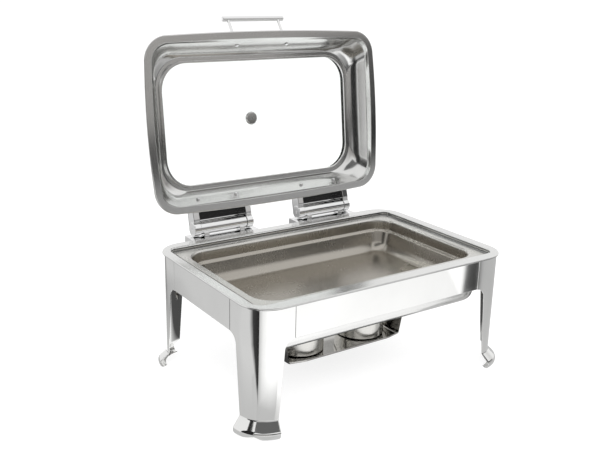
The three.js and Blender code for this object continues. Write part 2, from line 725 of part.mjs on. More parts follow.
function lidGlass() {
  const base = WINDOW.height + 1.8 + 2 * GAP;
  const seat = 0.12; // the middle of the dome is flat, to seat the vent
  const scales = [seat, 0.3, 0.5, 0.7, 0.87, 1];
  const dome = (scale, lift) => {
    const out = GLASS.overlap;
    const height = base + lift + GLASS.rise * (1 - ((scale - seat) / (1 - seat)) ** 2);
    return {
      halfX: (WINDOW.halfX + out) * scale, halfY: (WINDOW.halfY + out) * scale,
      radius: (WINDOW.radius + 4) * scale, centreY: WINDOW.centreY, z: height,
    };
  };
  const under = scales.map((scale) => dome(scale, 0));
  const upper = scales.map((scale) => dome(scale, GLASS.thickness)).reverse();
  const glass = outward(lidPlace(ringSkin([...under, ...upper], false, 5, 1)));
  const hole = new THREE.CylinderGeometry(VENT.bore, VENT.bore, 40, 20).rotateX(Math.PI / 2);
  return cut(glass, lidPlace(hole.translate(0, WINDOW.centreY, base + GLASS.rise)));
}

function addWindow() {
  add(lid, 'window_trim_inner', windowFrame([
    [0, 45.2], [1.4, 44.2], [4.2, 44.2], [6, 45.2], [6, 48.4], [0.6, 48.4],
  ]), satin());
  const seat = WINDOW.height + GAP;
  add(lid, 'window_gasket', windowFrame([[1, seat], [9.5, seat], [9.5, seat + 1.8], [1, seat + 1.8]]), rubber());
  add(lid, 'lid_glass', lidGlass(), clear());
  const clamp = seat + 1.8 + GAP + GLASS.thickness + 3.2;
  add(lid, 'window_trim_outer', windowFrame([
    [2.5, clamp + 2.2], [2.5, clamp + 1.2], [10.2, clamp - 2], [10.2, seat + GAP], [16, seat + GAP],
    [16, seat + 1.5], [11.8, clamp - 1.2],
  ]), satin());
}

function addVent() {
  const inside = WINDOW.height + 1.8 + 2 * GAP + GLASS.rise;
  const { hole, stem, radius } = VENT;
  const face = -4.4 - GAP;
  const end = GLASS.thickness + GAP;
  const button = turned([
    [hole, face], [radius - 3.3, face], [radius, -3.2], [radius, -GAP], [stem, -GAP],
    [stem, end], [hole, end], [hole, face],
  ], 28);
  add(lid, 'vent_button', lidPlace(button.translate(0, WINDOW.centreY, inside)), satin());
  const top = inside + GLASS.thickness;
  const cap = turned([
    [0, 2 * GAP], [VENT.cap, 2 * GAP], [VENT.cap, 2 * GAP + 2], [7, 2 * GAP + 4.4], [0, 2 * GAP + 5],
  ], 24);
  add(lid, 'vent_cap', lidPlace(cap.translate(0, WINDOW.centreY, top)), polished());
}

// Handle on the front wall: two posts square to the wall carry one round bar.

function handleRoot() {
  const inward = Math.tan(rad(LID_WALL.lean)) * HANDLE.level;
  return [LID_WALL.centreY - LID_WALL.halfY + inward - HINGE.y, HANDLE.level + LID_SEAT - HINGE.z];
}

function handleHole(x) {
  const [y, z] = handleRoot();
  const tool = new THREE.CylinderGeometry(SCREW.shank + GAP, SCREW.shank + GAP, 20, 12).rotateX(Math.PI / 2);
  return aim(tool, -LEAN.y, LEAN.z, [x, y, z]);
}

function addHandle() {
  const [y, z] = handleRoot();
  const { radius, halfLength, postRadius, reach } = HANDLE;
  const chamfer = 1.2;
  const bar = turned([
    [0, -halfLength], [radius - chamfer, -halfLength], [radius, -halfLength + chamfer],
    [radius, halfLength - chamfer], [radius - chamfer, halfLength], [0, halfLength],
  ], 24);
  bar.rotateY(Math.PI / 2).translate(0, y - LEAN.y * reach, z + LEAN.z * reach);
  add(lid, 'handle_bar', bar, polished());
  const start = THIN + GAP;
  const post = turned([
    [0, start + 12], [1.9, start + 12], [1.9, start], [postRadius, start],
    [postRadius, reach - radius - GAP], [0, reach - radius - GAP],
  ], 16);
  const { shank, head } = SCREW;
  const screw = turned([
    [0, -2.4 - GAP], [head * 0.7, -2 - GAP], [head, -0.8 - GAP], [head, -GAP],
    [shank, -GAP], [shank, SCREW.reach], [0, SCREW.reach],
  ], 16);
  for (const [side, signX] of [['left', -1], ['right', 1]]) {
    const place = [signX * HANDLE.postX, y, z];
    add(lid, `handle_post_${side}`, aim(post.clone(), -LEAN.y, LEAN.z, place), polished());
    add(lid, `handle_screw_${side}`, aim(screw.clone(), -LEAN.y, LEAN.z, place), satin());
  }
}

function addLidHinges() {
  for (const [side, signX] of [['left', -1], ['right', 1]]) {
    const middle = signX * HINGE.middleX;
    add(lid, `hinge_bracket_${side}`, hingeBracket().translate(middle, 0, 0), polished());
    for (const [end, spread] of [['inner', -signX * NUT_SPREAD], ['outer', signX * NUT_SPREAD]]) {
      add(lid, `lid_bolt_${side}_${end}`, lidBolt().translate(middle + spread, 0, 0), polished());
    }
  }
}

addLegs();
addRails();
addSeamStraps();
add(model, 'water_pan', outward(waterPan()), satin());
add(model, 'food_pan', outward(foodPan()), satin());
addFuel();
addFixedHinges();
add(lid, 'lid_shell', lidShell(), satin());
addWindow();
addVent();
addHandle();
addLidHinges();

// The origin is the middle of the whole footprint, with the lid open.
const bounds = new THREE.Box3().setFromObject(model, true);
model.position.y = -(bounds.min.y + bounds.max.y) / 2;

const placed = new THREE.Group();
placed.add(model);

export default placed;
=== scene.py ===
"""Looks of a chafing dish: fine sheet-metal meshes, materials, a studio and the camera."""

import json
import math

import bpy
import numpy as np
from mathutils import Matrix, Vector

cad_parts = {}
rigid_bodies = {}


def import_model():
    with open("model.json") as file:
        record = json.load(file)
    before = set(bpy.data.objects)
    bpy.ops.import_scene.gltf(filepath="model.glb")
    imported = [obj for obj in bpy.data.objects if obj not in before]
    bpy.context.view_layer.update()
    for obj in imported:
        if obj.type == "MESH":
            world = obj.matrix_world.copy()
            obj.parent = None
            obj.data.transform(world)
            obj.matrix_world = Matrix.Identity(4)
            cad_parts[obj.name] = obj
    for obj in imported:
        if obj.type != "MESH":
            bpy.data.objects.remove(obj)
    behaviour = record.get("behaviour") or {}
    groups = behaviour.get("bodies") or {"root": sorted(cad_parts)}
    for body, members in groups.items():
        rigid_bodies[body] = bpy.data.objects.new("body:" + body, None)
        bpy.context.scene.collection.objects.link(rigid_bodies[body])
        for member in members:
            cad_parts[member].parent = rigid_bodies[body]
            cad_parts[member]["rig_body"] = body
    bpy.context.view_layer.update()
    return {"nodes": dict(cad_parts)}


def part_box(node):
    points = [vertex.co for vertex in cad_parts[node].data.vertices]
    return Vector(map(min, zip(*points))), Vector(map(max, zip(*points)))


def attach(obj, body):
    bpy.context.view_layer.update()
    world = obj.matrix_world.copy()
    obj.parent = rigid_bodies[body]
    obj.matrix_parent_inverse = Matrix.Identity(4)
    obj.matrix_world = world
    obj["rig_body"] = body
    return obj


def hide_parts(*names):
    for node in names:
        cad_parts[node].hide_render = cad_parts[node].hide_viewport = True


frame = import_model()

# Driving dimensions, in millimetres, about the middle of the pans and up from the floor.

SHEET = 2.0  # thickness of legs and rails
THIN = 1.0  # thickness of pans, lid and fuel holders
GAP = 0.3  # clearance between pieces that touch

STAND = {"half_x": 292.5, "half_y": 190.0, "radius": 52.0, "top": 234.0, "rail_bottom": 175.0}
LEDGE = 12.0  # width of the fold at the top of legs and rails
HEM = 6.0  # width of the fold under a rail
SEAM = 0.8  # open seam between a leg and a rail
LEG = {"seam_x": 214.0, "seam_y": 107.0, "gusset": 20.0, "neck": 30.5, "neck_x": 10.0, "neck_y": 13.0,
       "rim": 5.6}
FOOT = {"out": 7.0, "radius": 10.0, "start": 53.0, "end": -129.0}

FLANGE_TOP = 230.0  # top of the food pan's flange
FOOD_DEPTH = 65.0
SHOULDER_DROP = 23.0  # from the flange down to the food pan's stacking shoulder
FOOD_OPENING = {"half_x": 251.0, "half_y": 148.5, "radius": 45.0}
FOOD_FLANGE = {"half_x": 265.0, "half_y": 162.5, "radius": 12.0}
RIM_TOP = 238.0  # top of the water pan's rim
RIM = {"half_x": 295.5, "half_y": 193.5, "radius": 54.0, "bead": 1.85}
RECESS = {"half_x": 274.0, "half_y": 167.0, "radius": 16.0}  # step that holds the food pan's flange
WELL = {"half_x": 252.0, "half_y": 164.0, "radius": 41.0, "floor": 138.0, "fillet": 21.0}

HINGE = {"y": 216.7, "z": 252.3, "middle": 128.3, "half": 69.3, "knuckle": 15.0, "radius": 14.5,
         "barrel": 13.0, "bore": 4.3}
BASE = {"low": 221.0, "high": 237.0, "back": 232.0, "overhang": 9.5}  # block that carries a hinge
LUG = {"half": 6.0, "in": 12.0, "front": -13.5, "back": 3.0, "top": -7.5}  # feet of the barrel, from its axis
BRACKET = {"plate": 2.5, "low": -3.6, "upstand": 6.0, "rise": 4.0, "end_gap": 1.5, "chin": 9.0,
           "chin_depth": 20.0, "nose": 6.0}
OPEN_ANGLE = 97.0
LID_SEAT = 239.2  # height of the closed lid's rim
LEAN = math.radians(30.0)  # slope of the lid's walls
LID = {"half_x": 272.0, "half_y": 169.1, "y": 5.8, "radius": 48.0}
LID_RIM = {"half_x": 278.9, "half_y": 176.0, "y": 4.0, "radius": 52.0, "bow": 4.6, "flange": 15.5,
           "riser": 10.4, "bead": 2.4}
WINDOW = {"half_x": 226.0, "half_y": 124.0, "y": 7.0, "radius": 55.0, "height": 50.0}
GLASS = {"thickness": 4.0, "rise": 35.0, "overlap": 7.0, "seat": 0.12}
GASKET = 1.8  # thickness of the gasket
VENT = {"hole": 1.8, "face": 12.0, "radius": 14.3, "stem": 4.6, "height": 4.4, "cap": 11.0}
HANDLE = {"half": 75.0, "radius": 5.5, "post_x": 61.0, "post": 3.25, "reach": 62.9, "level": 24.4}
NUT = {"level": 26.2, "spread": 44.5, "radius": 4.6, "shank": 2.5}

TRAY = {"bottom": 48.0, "half_x": 135.0, "half_y": 65.0, "end_y": 57.5, "lip": 5.0, "sheet": 1.2}
TRAY_END = {"spread": 17.0, "flange": 15.0, "top": 136.7}
HOLDER = {"x": 76.0, "radius": 50.0, "height": 55.0, "collar": 23.0, "hole": 20.0}
SHUTTER = {"radius": 24.0, "pivot": 38.0, "arm_half": 6.0, "tab": 9.0, "tab_half": 5.0, "curl": 1.4}

LID_BULGE = 1.6  # how far the foot of the lid's wall stands in from its plain slope
BEND = 34.0  # height where the lid's wall touches its plain slope

SIDES = (("left", -1), ("right", 1))  # a name, and the sign of X on that side
CORNER_STEPS = 16
SIDE_STEPS = 12
ROUND = 96  # segments of a turned piece

# The camera, in metres and degrees. It stands in front of the left end and above the dish.

CAMERA_PLACE = (-0.92536, -1.288283, 0.75963)
CAMERA_TURN = {"azimuth": 34.551, "elevation": 17.060, "roll": 1.396}
LENS = {"length": 49.33, "sensor": 36.0}

# Places: millimetres about the pans become metres in the row frame.

def rotation(axis, degrees):
    return Matrix.Rotation(math.radians(degrees), 4, axis)


low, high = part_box("water_pan")
to_row = Matrix.Translation((0, (low.y + high.y) / 2, 0)) @ Matrix.Scale(0.001, 4)
to_hinge = to_row @ Matrix.Translation((0, HINGE["y"], HINGE["z"])) @ rotation("X", -OPEN_ANGLE)
to_lid = to_hinge @ Matrix.Translation((0, -HINGE["y"], LID_SEAT - HINGE["z"]))


# Outlines

def arc(centre_a, centre_b, radius, start, end, steps):
    """Points on an arc about a centre, from one angle to another in degrees."""
    angles = np.radians(np.linspace(start, end, steps + 1))
    return [(centre_a + radius * math.cos(t), centre_b + radius * math.sin(t)) for t in angles]


def soften(points, reach, steps=4, closed=False):
    """Rounds an outline's corners. A curve starts `reach` before its corner; it may be a list of them."""
    points = [np.array(point, float) for point in points]
    rounded = []
    for i, here in enumerate(points):
        own = reach[i] if isinstance(reach, (list, tuple)) else reach
        if own == 0 or (not closed and i in (0, len(points) - 1)):
            rounded.append(here)
            continue
        before = points[i - 1] - here
        after = points[(i + 1) % len(points)] - here
        start = here + before * min(0.49, own / np.linalg.norm(before))
        end = here + after * min(0.49, own / np.linalg.norm(after))
        for t in np.linspace(0, 1, steps + 1):
            rounded.append((1 - t) ** 2 * start + 2 * t * (1 - t) * here + t**2 * end)
    return rounded


def offset(points, distance, closed=False):
    """Moves each point of an outline sideways, to the right of its direction."""
    points = [np.array(point, float) for point in points]
    last = len(points) - 1
    moved = []
    for i, here in enumerate(points):
        before = points[i - 1] if closed or i > 0 else None
        after = points[(i + 1) % len(points)] if closed or i < last else None
        first = here - before if before is not None else after - here
        second = after - here if after is not None else here - before
        normal_a = np.array((first[1], -first[0])) / np.linalg.norm(first)
        normal_b = np.array((second[1], -second[0])) / np.linalg.norm(second)
        miter = (normal_a + normal_b) / np.linalg.norm(normal_a + normal_b)
        moved.append(here + miter * distance / max(miter @ normal_a, 0.3))
    return moved


def ring(half_x, half_y, radius, z, y=0.0, bow=0.0):
    """One level loop round a rounded rectangle. A bow swells the middle of each side."""
    points = []
    corners = [(1, 1, 0), (-1, 1, 90), (-1, -1, 180), (1, -1, 270)]
    for index, (sign_x, sign_y, start) in enumerate(corners):
        middle_x, middle_y = sign_x * (half_x - radius), y + sign_y * (half_y - radius)
        turn = arc(middle_x, middle_y, radius, start, start + 90, CORNER_STEPS)
        points += [(a, b, z) for a, b in turn]
        along_x = index % 2 == 0
        length = 2 * ((half_x if along_x else half_y) - radius)
        forward = np.array((-sign_x, 0, 0) if along_x else (0, -sign_y, 0), float)
        outward_side = np.array((0, sign_y, 0) if along_x else (sign_x, 0, 0), float)
        for t in np.linspace(0, 1, SIDE_STEPS + 1)[1:-1]:
            swell = bow * (1 - (2 * t - 1) ** 2)
            points.append(np.array((*turn[-1], z)) + forward * length * t + outward_side * swell)
    return np.array(points, float)


# Shapes: a pair of points and faces, closed, with the faces pointing out.

def outward(points, faces):
    """Turns the faces round if they enclose a negative volume."""
    volume = 0.0
    for face in faces:
        first = points[face[0]]
        for a, b in zip(face[1:-1], face[2:]):
            volume += first @ np.cross(points[a], points[b])
    return points, [tuple(reversed(face)) for face in faces] if volume < 0 else faces


def skin(loops, closed, start=None, end=None):
    """Joins loops of equal length, each to the next. The ends meet, or each is capped about a point."""
    count = len(loops[0])
    points = [np.asarray(loop, float) for loop in loops]
    faces = []
    for band in range(len(loops) if closed else len(loops) - 1):
        a, b = band * count, ((band + 1) % len(loops)) * count
        for i in range(count):
            j = (i + 1) % count
            faces.append((a + i, a + j, b + j, b + i))
    if not closed:
        for which, middle, flip in ((0, start, True), (len(loops) - 1, end, False)):
            centre = sum(len(p) for p in points)
            points.append(np.array([middle if middle is not None else points[which].mean(0)], float))
            for i in range(count):
                a, b = which * count + i, which * count + (i + 1) % count
                faces.append((centre, b, a) if flip else (centre, a, b))
    return outward(np.concatenate(points), faces)


def plate(front, back, chamfer=0.35):
    """A closed sheet between two grids of points, its front and its back, with its cut edges broken."""
    front, back = np.array(front, float), np.array(back, float)
    rows, columns = front.shape[:2]
    border = [(0, c) for c in range(columns - 1)] + [(r, columns - 1) for r in range(rows - 1)]
    border += [(rows - 1, c) for c in range(columns - 1, 0, -1)] + [(r, 0) for r in range(rows - 1, 0, -1)]
    size = rows * columns
    faces = []
    for r in range(rows - 1):
        for c in range(columns - 1):
            a = r * columns + c
            faces.append((a, a + 1, a + columns + 1, a + columns))
            faces.append((size + a, size + a + columns, size + a + columns + 1, size + a + 1))
    rims = [[], []]
    broken = [front.copy(), back.copy()]
    for r, c in border:
        inner = min(max(r, 1), rows - 2), min(max(c, 1), columns - 2)
        for side, (own, other) in enumerate(((front, back), (back, front))):
            inward = own[inner] - own[r, c]
            across = other[r, c] - own[r, c]
            broken[side][r, c] += inward / np.linalg.norm(inward) * chamfer
            rims[side].append(own[r, c] + across / np.linalg.norm(across) * chamfer)
    count = len(border)
    lines = [
        [r * columns + c for r, c in border],
        list(range(2 * size, 2 * size + count)),
        list(range(2 * size + count, 2 * size + 2 * count)),
        [size + r * columns + c for r, c in border],
    ]
    for near, far in zip(lines, lines[1:]):
        for k in range(count):
            n = (k + 1) % count
            faces.append((near[n], near[k], far[k], far[n]))
    points = np.concatenate([broken[0].reshape(-1, 3), broken[1].reshape(-1, 3), rims[0], rims[1]])
    return outward(points, faces)


def turned(profile, segments=ROUND):
    """A turned shape: [radius, height] points about the Z axis, from axis to axis or closed on itself."""
    angles = np.linspace(0, 2 * math.pi, segments, endpoint=False)
    circle = np.column_stack([np.cos(angles), np.sin(angles)])
    loops = [np.column_stack([circle * radius, np.full(segments, height)])
             for radius, height in profile if radius > 0]
    on_axis = [(0.0, 0.0, height) for radius, height in profile if radius == 0]
    return skin(loops, not on_axis, *on_axis)


def bar(outline, start, end, bevel=0.6):
    """A prism along X on an outline in the Y-Z plane, with the edges of both ends broken."""
    inset = offset(outline, -bevel, closed=True)
    area = sum(a[0] * b[1] - b[0] * a[1] for a, b in zip(outline, list(outline[1:]) + [outline[0]]))
    if area < 0:
        inset = offset(outline, bevel, closed=True)
    stations = [(start, inset), (start + bevel, outline), (end - bevel, outline), (end, inset)]
    return skin([[(x, a, b) for a, b in points] for x, points in stations], False)


def block(x, y, z, bevel=0.8):
    """A box with rounded edges between two limits on each axis."""
    corners = [(y[0], z[0]), (y[1], z[0]), (y[1], z[1]), (y[0], z[1])]
    return bar(soften(corners, bevel * 1.5, 3, closed=True), x[0], x[1], bevel)


def moved(shape, matrix):
    """The shape carried by a matrix."""
    points, faces = shape
    grid = np.array(matrix)
    carried = points @ grid[:3, :3].T + grid[:3, 3]
    return carried, [tuple(reversed(face)) for face in faces] if matrix.determinant() < 0 else faces


def shifted(shape, x=0.0, y=0.0, z=0.0):
    return moved(shape, Matrix.Translation((x, y, z)))


def aimed(shape, direction, place):
    """A shape made about the Z axis, with its axis turned to a direction, at a place."""
    turn = Vector((0, 0, 1)).rotation_difference(Vector(direction)).to_matrix().to_4x4()
    return moved(shape, Matrix.Translation(place) @ turn)


def together(*shapes):
    points, faces = [], []
    for own_points, own_faces in shapes:
        base = sum(len(p) for p in points)
        points.append(own_points)
        faces += [tuple(base + i for i in face) for face in own_faces]
    return np.concatenate(points), faces


def mirror(shape, sign_x, sign_y=1):
    return moved(shape, Matrix.Diagonal((sign_x, sign_y, 1, 1)))


def mesh_of(name, points, faces, material):
    mesh = bpy.data.meshes.new(name)
    mesh.from_pydata([tuple(p) for p in points], [], faces)
    mesh.materials.append(material)
    return mesh


def placed(name, data):
    """A new object in the scene."""
    made = bpy.data.objects.new(name, data)
    bpy.context.scene.collection.objects.link(made)
    return made


# Materials

def new_material(name):
    """A material, its nodes and links, and its shader."""
    material = bpy.data.materials.new(name)
    material.use_nodes = True
    nodes, links = material.node_tree.nodes, material.node_tree.links
    return material, nodes, links, nodes["Principled BSDF"]


def noise(nodes, links, coordinates, scale, detail=4.0, stretch=(1, 1, 1)):
    """A noise texture in the piece's own metres, stretched along its axes."""
    mapping = nodes.new("ShaderNodeMapping")
    mapping.inputs["Scale"].default_value = stretch
    texture = nodes.new("ShaderNodeTexNoise")
    texture.inputs["Scale"].default_value = scale
    texture.inputs["Detail"].default_value = detail
    links.new(coordinates, mapping.inputs["Vector"])
    links.new(mapping.outputs["Vector"], texture.inputs["Vector"])
    return texture.outputs["Fac"]


def ranged(nodes, links, value, start=0.0, end=1.0, lowest=0.3, highest=0.7, smooth=False):
    """The value, spread to a range from two limits, which are the middle of noise if not given."""
    spread = nodes.new("ShaderNodeMapRange")
    spread.interpolation_type = "SMOOTHSTEP" if smooth else "LINEAR"
    limits = {"From Min": lowest, "From Max": highest, "To Min": start, "To Max": end}
    for name, limit in limits.items():
        spread.inputs[name].default_value = limit
    links.new(value, spread.inputs["Value"])
    return spread.outputs["Result"]


def bumped(nodes, links, value, depth, under=None):
    """A bump of a depth in metres, on top of another."""
    bump = nodes.new("ShaderNodeBump")
    bump.inputs["Strength"].default_value = 1.0
    bump.inputs["Distance"].default_value = depth
    links.new(value, bump.inputs["Height"])
    if under is not None:
        links.new(under, bump.inputs["Normal"])
    return bump.outputs["Normal"]


def mixed(nodes, links, first, second, factor, blend="MIX"):
    """Two colours mixed. Each input is a value or a socket."""
    mix = nodes.new("ShaderNodeMix")
    mix.data_type = "RGBA"
    mix.blend_type = blend
    for name, given in (("A", first), ("B", second), ("Factor", factor)):
        if isinstance(given, bpy.types.NodeSocket):
            links.new(given, mix.inputs[name])
        else:
            mix.inputs[name].default_value = given
    return mix.outputs["Result"]


def combined(nodes, links, operation, first, second):
    """Two values added or multiplied."""
    node = nodes.new("ShaderNodeMath")
    node.operation = operation
    links.new(first, node.inputs[0])
    links.new(second, node.inputs[1])
    return node.outputs["Value"]


def by_height(nodes, links, coordinates, layers):
    """A tone that changes with height. Each layer is (height in millimetres, tone), from low to high."""
    height = nodes.new("ShaderNodeSeparateXYZ")
    links.new(coordinates, height.inputs["Vector"])
    lowest, highest = layers[0][0], layers[-1][0]
    share = ranged(nodes, links, height.outputs["Z"], lowest=lowest / 1000, highest=highest / 1000)
    ramp = nodes.new("ShaderNodeValToRGB")
    links.new(share, ramp.inputs["Fac"])
    stops = ramp.color_ramp.elements
    for index, (level, tone) in enumerate(layers):
        place = (level - lowest) / (highest - lowest)
        stop = stops[index] if index < 2 else stops.new(place)
        stop.position = place
        stop.color = (*tone, 1)
    return ramp.outputs["Color"]


def steel(name, color, roughness, ripple=0.0, grain=0.0, along=(1, 1, 1), tint=0.06, layers=None):
    """Stainless steel: a base tone with faint clouds, uneven gloss, rolled ripple and brushed grain."""
    material, nodes, links, shader = new_material(name)
    shader.inputs["Metallic"].default_value = 1.0
    coordinates = nodes.new("ShaderNodeTexCoord").outputs["Object"]
    clouds = noise(nodes, links, coordinates, 9.0)
    brushed = noise(nodes, links, coordinates, 260.0, 2.0, along)
    waves = noise(nodes, links, coordinates, 14.0, 1.0)

    shade = [channel * (1 - tint) for channel in color]
    tone = mixed(nodes, links, (*shade, 1), (*color, 1), ranged(nodes, links, clouds))
    # Layers change the tone by height; on the water pan's rim they are painted shade.
    if layers:
        tone = mixed(nodes, links, tone, by_height(nodes, links, coordinates, layers), 1.0, "MULTIPLY")
    links.new(tone, shader.inputs["Base Color"])

    cloudy = ranged(nodes, links, clouds, roughness * 0.9, roughness * 1.1)
    streaky = ranged(nodes, links, brushed, 0, roughness * 0.06)
    links.new(combined(nodes, links, "ADD", cloudy, streaky), shader.inputs["Roughness"])

    normal = bumped(nodes, links, waves, ripple)
    if grain:
        normal = bumped(nodes, links, brushed, grain, normal)
    links.new(normal, shader.inputs["Normal"])
    return material


def clear_glass(name):
    """Tempered glass with a faint haze of wiping marks."""
    material, nodes, links, shader = new_material(name)
    shader.inputs["Base Color"].default_value = (0.97, 0.99, 0.98, 1)
    shader.inputs["Transmission Weight"].default_value = 1.0
    shader.inputs["IOR"].default_value = 1.3
    coordinates = nodes.new("ShaderNodeTexCoord").outputs["Object"]
    haze = noise(nodes, links, coordinates, 30.0, 3.0, (1, 0.3, 0.3))
    links.new(ranged(nodes, links, haze, 0.0, 0.03), shader.inputs["Roughness"])
    return material


def rubber(name):
    """Dark silicone with a fine matt grain."""
    material, nodes, links, shader = new_material(name)
    shader.inputs["Base Color"].default_value = (0.05, 0.05, 0.048, 1)
    coordinates = nodes.new("ShaderNodeTexCoord").outputs["Object"]
    grain = noise(nodes, links, coordinates, 900.0, 2.0)
    links.new(ranged(nodes, links, grain, 0.5, 0.75), shader.inputs["Roughness"])
    links.new(bumped(nodes, links, grain, 0.00005), shader.inputs["Normal"])
    return material


LENGTHWAYS = (0.02, 1, 1)  # grain that runs along X
UPRIGHT = (1, 1, 0.02)  # grain that runs up and down

# PLAIN keeps the steel's own tone; the other two are painted shade, light and deep.
PLAIN, SHADED, DEEP_SHADE = (1, 1, 1), (0.4, 0.4, 0.4), (0.12, 0.12, 0.12)
INNER_TONE = (0.68, 0.65, 0.61)  # a darker, warmer tone inside the food pan, from its floor up to near its flange

# The water pan's painted shade: a shaded band at the foot of the step round the food pan, and a dark painted
# shadow line under the rolled rim.
RIM_SHADE_LAYERS = [(138, PLAIN), (228.9, PLAIN), (229, SHADED), (231.5, SHADED), (232, PLAIN), (234, PLAIN),
              (234.1, DEEP_SHADE), (235.2, DEEP_SHADE), (235.7, PLAIN), (238, PLAIN)]

STEELS = {
    "mirror_steel": {"color": (0.86, 0.86, 0.85), "roughness": 0.06, "ripple": 0.00004},
    # the rim's layers are painted shade at the foot of its step and under its rolled edge
    "rim_steel": {"color": (0.8, 0.8, 0.79), "roughness": 0.2, "ripple": 0.00002, "grain": 0.0000004,
                  "along": LENGTHWAYS, "layers": RIM_SHADE_LAYERS},
    "food_pan_steel": {"color": (0.68, 0.67, 0.64), "roughness": 0.26, "ripple": 0.00002, "along": UPRIGHT,
                       "layers": [(164, INNER_TONE), (218, INNER_TONE), (229, PLAIN)]},
    "lid_steel": {"color": (0.76, 0.76, 0.75), "roughness": 0.16, "ripple": 0.00005, "grain": 0.0000004,
                  "along": UPRIGHT},
    "chrome": {"color": (0.88, 0.88, 0.88), "roughness": 0.04},
    "plain_steel": {"color": (0.62, 0.62, 0.6), "roughness": 0.35, "grain": 0.00001, "along": UPRIGHT},
    "dark_mirror_steel": {"color": (0.55, 0.54, 0.52), "roughness": 0.08, "ripple": 0.00004},
    "holder_steel": {"color": (0.74, 0.73, 0.7), "roughness": 0.2, "grain": 0.000001, "along": UPRIGHT},
}
finishes = {name: steel(name, **look) for name, look in STEELS.items()}
finishes["window_glass"] = clear_glass("window_glass")
finishes["gasket"] = rubber("gasket")


def show(shape, matrix, slot, *nodes, sharp=32.0):
    """Adds a fine piece that stands for CAD nodes: it rides on their body and takes their slot's finish."""
    points, faces = moved(shape, matrix)
    name = nodes[0] + "_fine"
    mesh = mesh_of(name, points, faces, finishes[slot])
    mesh.shade_smooth()
    mesh.set_sharp_from_angle(angle=math.radians(sharp))
    piece = placed(name, mesh)
    weighted = piece.modifiers.new("flat_faces_stay_flat", "WEIGHTED_NORMAL")
    weighted.keep_sharp = True
    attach(piece, frame["nodes"][nodes[0]]["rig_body"])
    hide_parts(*nodes)
    return piece


# Stand

def leg_outline():
    """Outer face of a leg from its top fold down to the curled tip of its foot: (distance out, height)."""
    foot_height = STAND["rail_bottom"] - LEG["gusset"]
    top = soften([(-LEDGE, STAND["top"]), (0, STAND["top"]), (0, STAND["rail_bottom"])], 1.5, 5)
    gusset = [(0, z) for _, z in arc(0, foot_height, LEG["gusset"], 90, 0, 14)][1:]
    shaft = [(0, z) for z in np.linspace(foot_height, LEG["neck"], 14)[1:-1]]
    foot = arc(FOOT["out"], FOOT["radius"], FOOT["radius"], FOOT["start"], FOOT["end"], 26)
    flare = soften([(0, LEG["neck"] + 4), (0, LEG["neck"]), foot[0]], 1.6, 4)
    return top + gusset + shaft + flare + foot[1:]


def edge_inset(z, neck_inset):
    """How far a leg's edge stands back from its seam with the rail, at each height."""
    gusset_foot = STAND["rail_bottom"] - LEG["gusset"]
    if z >= STAND["rail_bottom"]:
        return 0.0
    if z > gusset_foot:
        return math.sqrt(LEG["gusset"] ** 2 - (z - gusset_foot) ** 2)
    if z >= LEG["neck"]:
        return LEG["gusset"] + neck_inset * (gusset_foot - z) / (gusset_foot - LEG["neck"])
    flare = min((LEG["neck"] - z) / (LEG["neck"] - FOOT["radius"]), 1.0)
    return LEG["gusset"] + neck_inset + LEG["rim"] * flare


def leg_row(out, z, edge_z, steps=44):
    """One row of a leg's face round the corner, at a distance out from it, in steps of equal length."""
    edge_x = LEG["seam_x"] + edge_inset(edge_z, LEG["neck_x"])
    edge_y = LEG["seam_y"] + edge_inset(edge_z, LEG["neck_y"])
    centre_x = STAND["half_x"] - STAND["radius"]
    centre_y = STAND["half_y"] - STAND["radius"]
    radius = STAND["radius"] + out
    start = math.asin(max(edge_y - centre_y, 0) / radius)
    end = math.acos(max(edge_x - centre_x, 0) / radius)
    flat = max(centre_y - edge_y, 0)
    bend = (end - start) * radius
    row = []
    for along in np.linspace(0, flat + bend + max(centre_x - edge_x, 0), steps + 1):
        if along < flat:
            row.append((STAND["half_x"] + out, edge_y + along, z))
        elif along > flat + bend:
            row.append((centre_x - (along - flat - bend), STAND["half_y"] + out, z))
        else:
            angle = start + (along - flat) / radius
            row.append((centre_x + radius * math.cos(angle), centre_y + radius * math.sin(angle), z))
    return row


def make_legs():
    outline = leg_outline()
    behind = offset(outline, SHEET)
    front = [leg_row(out, z, z) for out, z in outline]
    back = [leg_row(out, z, edge) for (out, z), (_, edge) in zip(behind, outline)]
    leg = plate(front, back)
    for side, sign_x in SIDES:
        for end, sign_y in (("front", -1), ("rear", 1)):
            show(mirror(leg, sign_x, sign_y), to_row, "mirror_steel", f"leg_{end}_{side}")


def rail(face, half_length):
    """A rail's channel along X, with its face at a distance from the middle."""
    top, bottom = STAND["top"], STAND["rail_bottom"]
    outline = soften([(-LEDGE, top), (0, top), (0, bottom), (-HEM, bottom)], 1.5, 5)
    behind = offset(outline, SHEET)
    stations = np.linspace(-half_length, half_length, 25)
    grids = [[[(x, face + out, z) for x in stations] for out, z in line] for line in (outline, behind)]
    return plate(*grids)


def make_rails():
    long = rail(STAND["half_y"], LEG["seam_x"] - SEAM)
    short = moved(rail(STAND["half_x"], LEG["seam_y"] - SEAM), rotation("Z", -90))
    show(long, to_row, "mirror_steel", "rail_rear")
    show(mirror(long, 1, -1), to_row, "mirror_steel", "rail_front")
    show(short, to_row, "mirror_steel", "rail_right")
    show(mirror(short, -1), to_row, "mirror_steel", "rail_left")


# Pans. A ring is (half length, half width, corner radius, height).

def behind_rings(rings, thickness):
    """The rings of a pressed sheet's other face, one thickness away."""
    outline = [((half_x + half_y) / 2, z) for half_x, half_y, _, z in rings]
    partners = []
    for (half_x, half_y, radius, _), (own, _), (half, z) in zip(rings, outline, offset(outline, thickness)):
        shift = half - own
        partners.append((half_x + shift, half_y + shift, max(radius + shift, 2.0), z))
    return partners


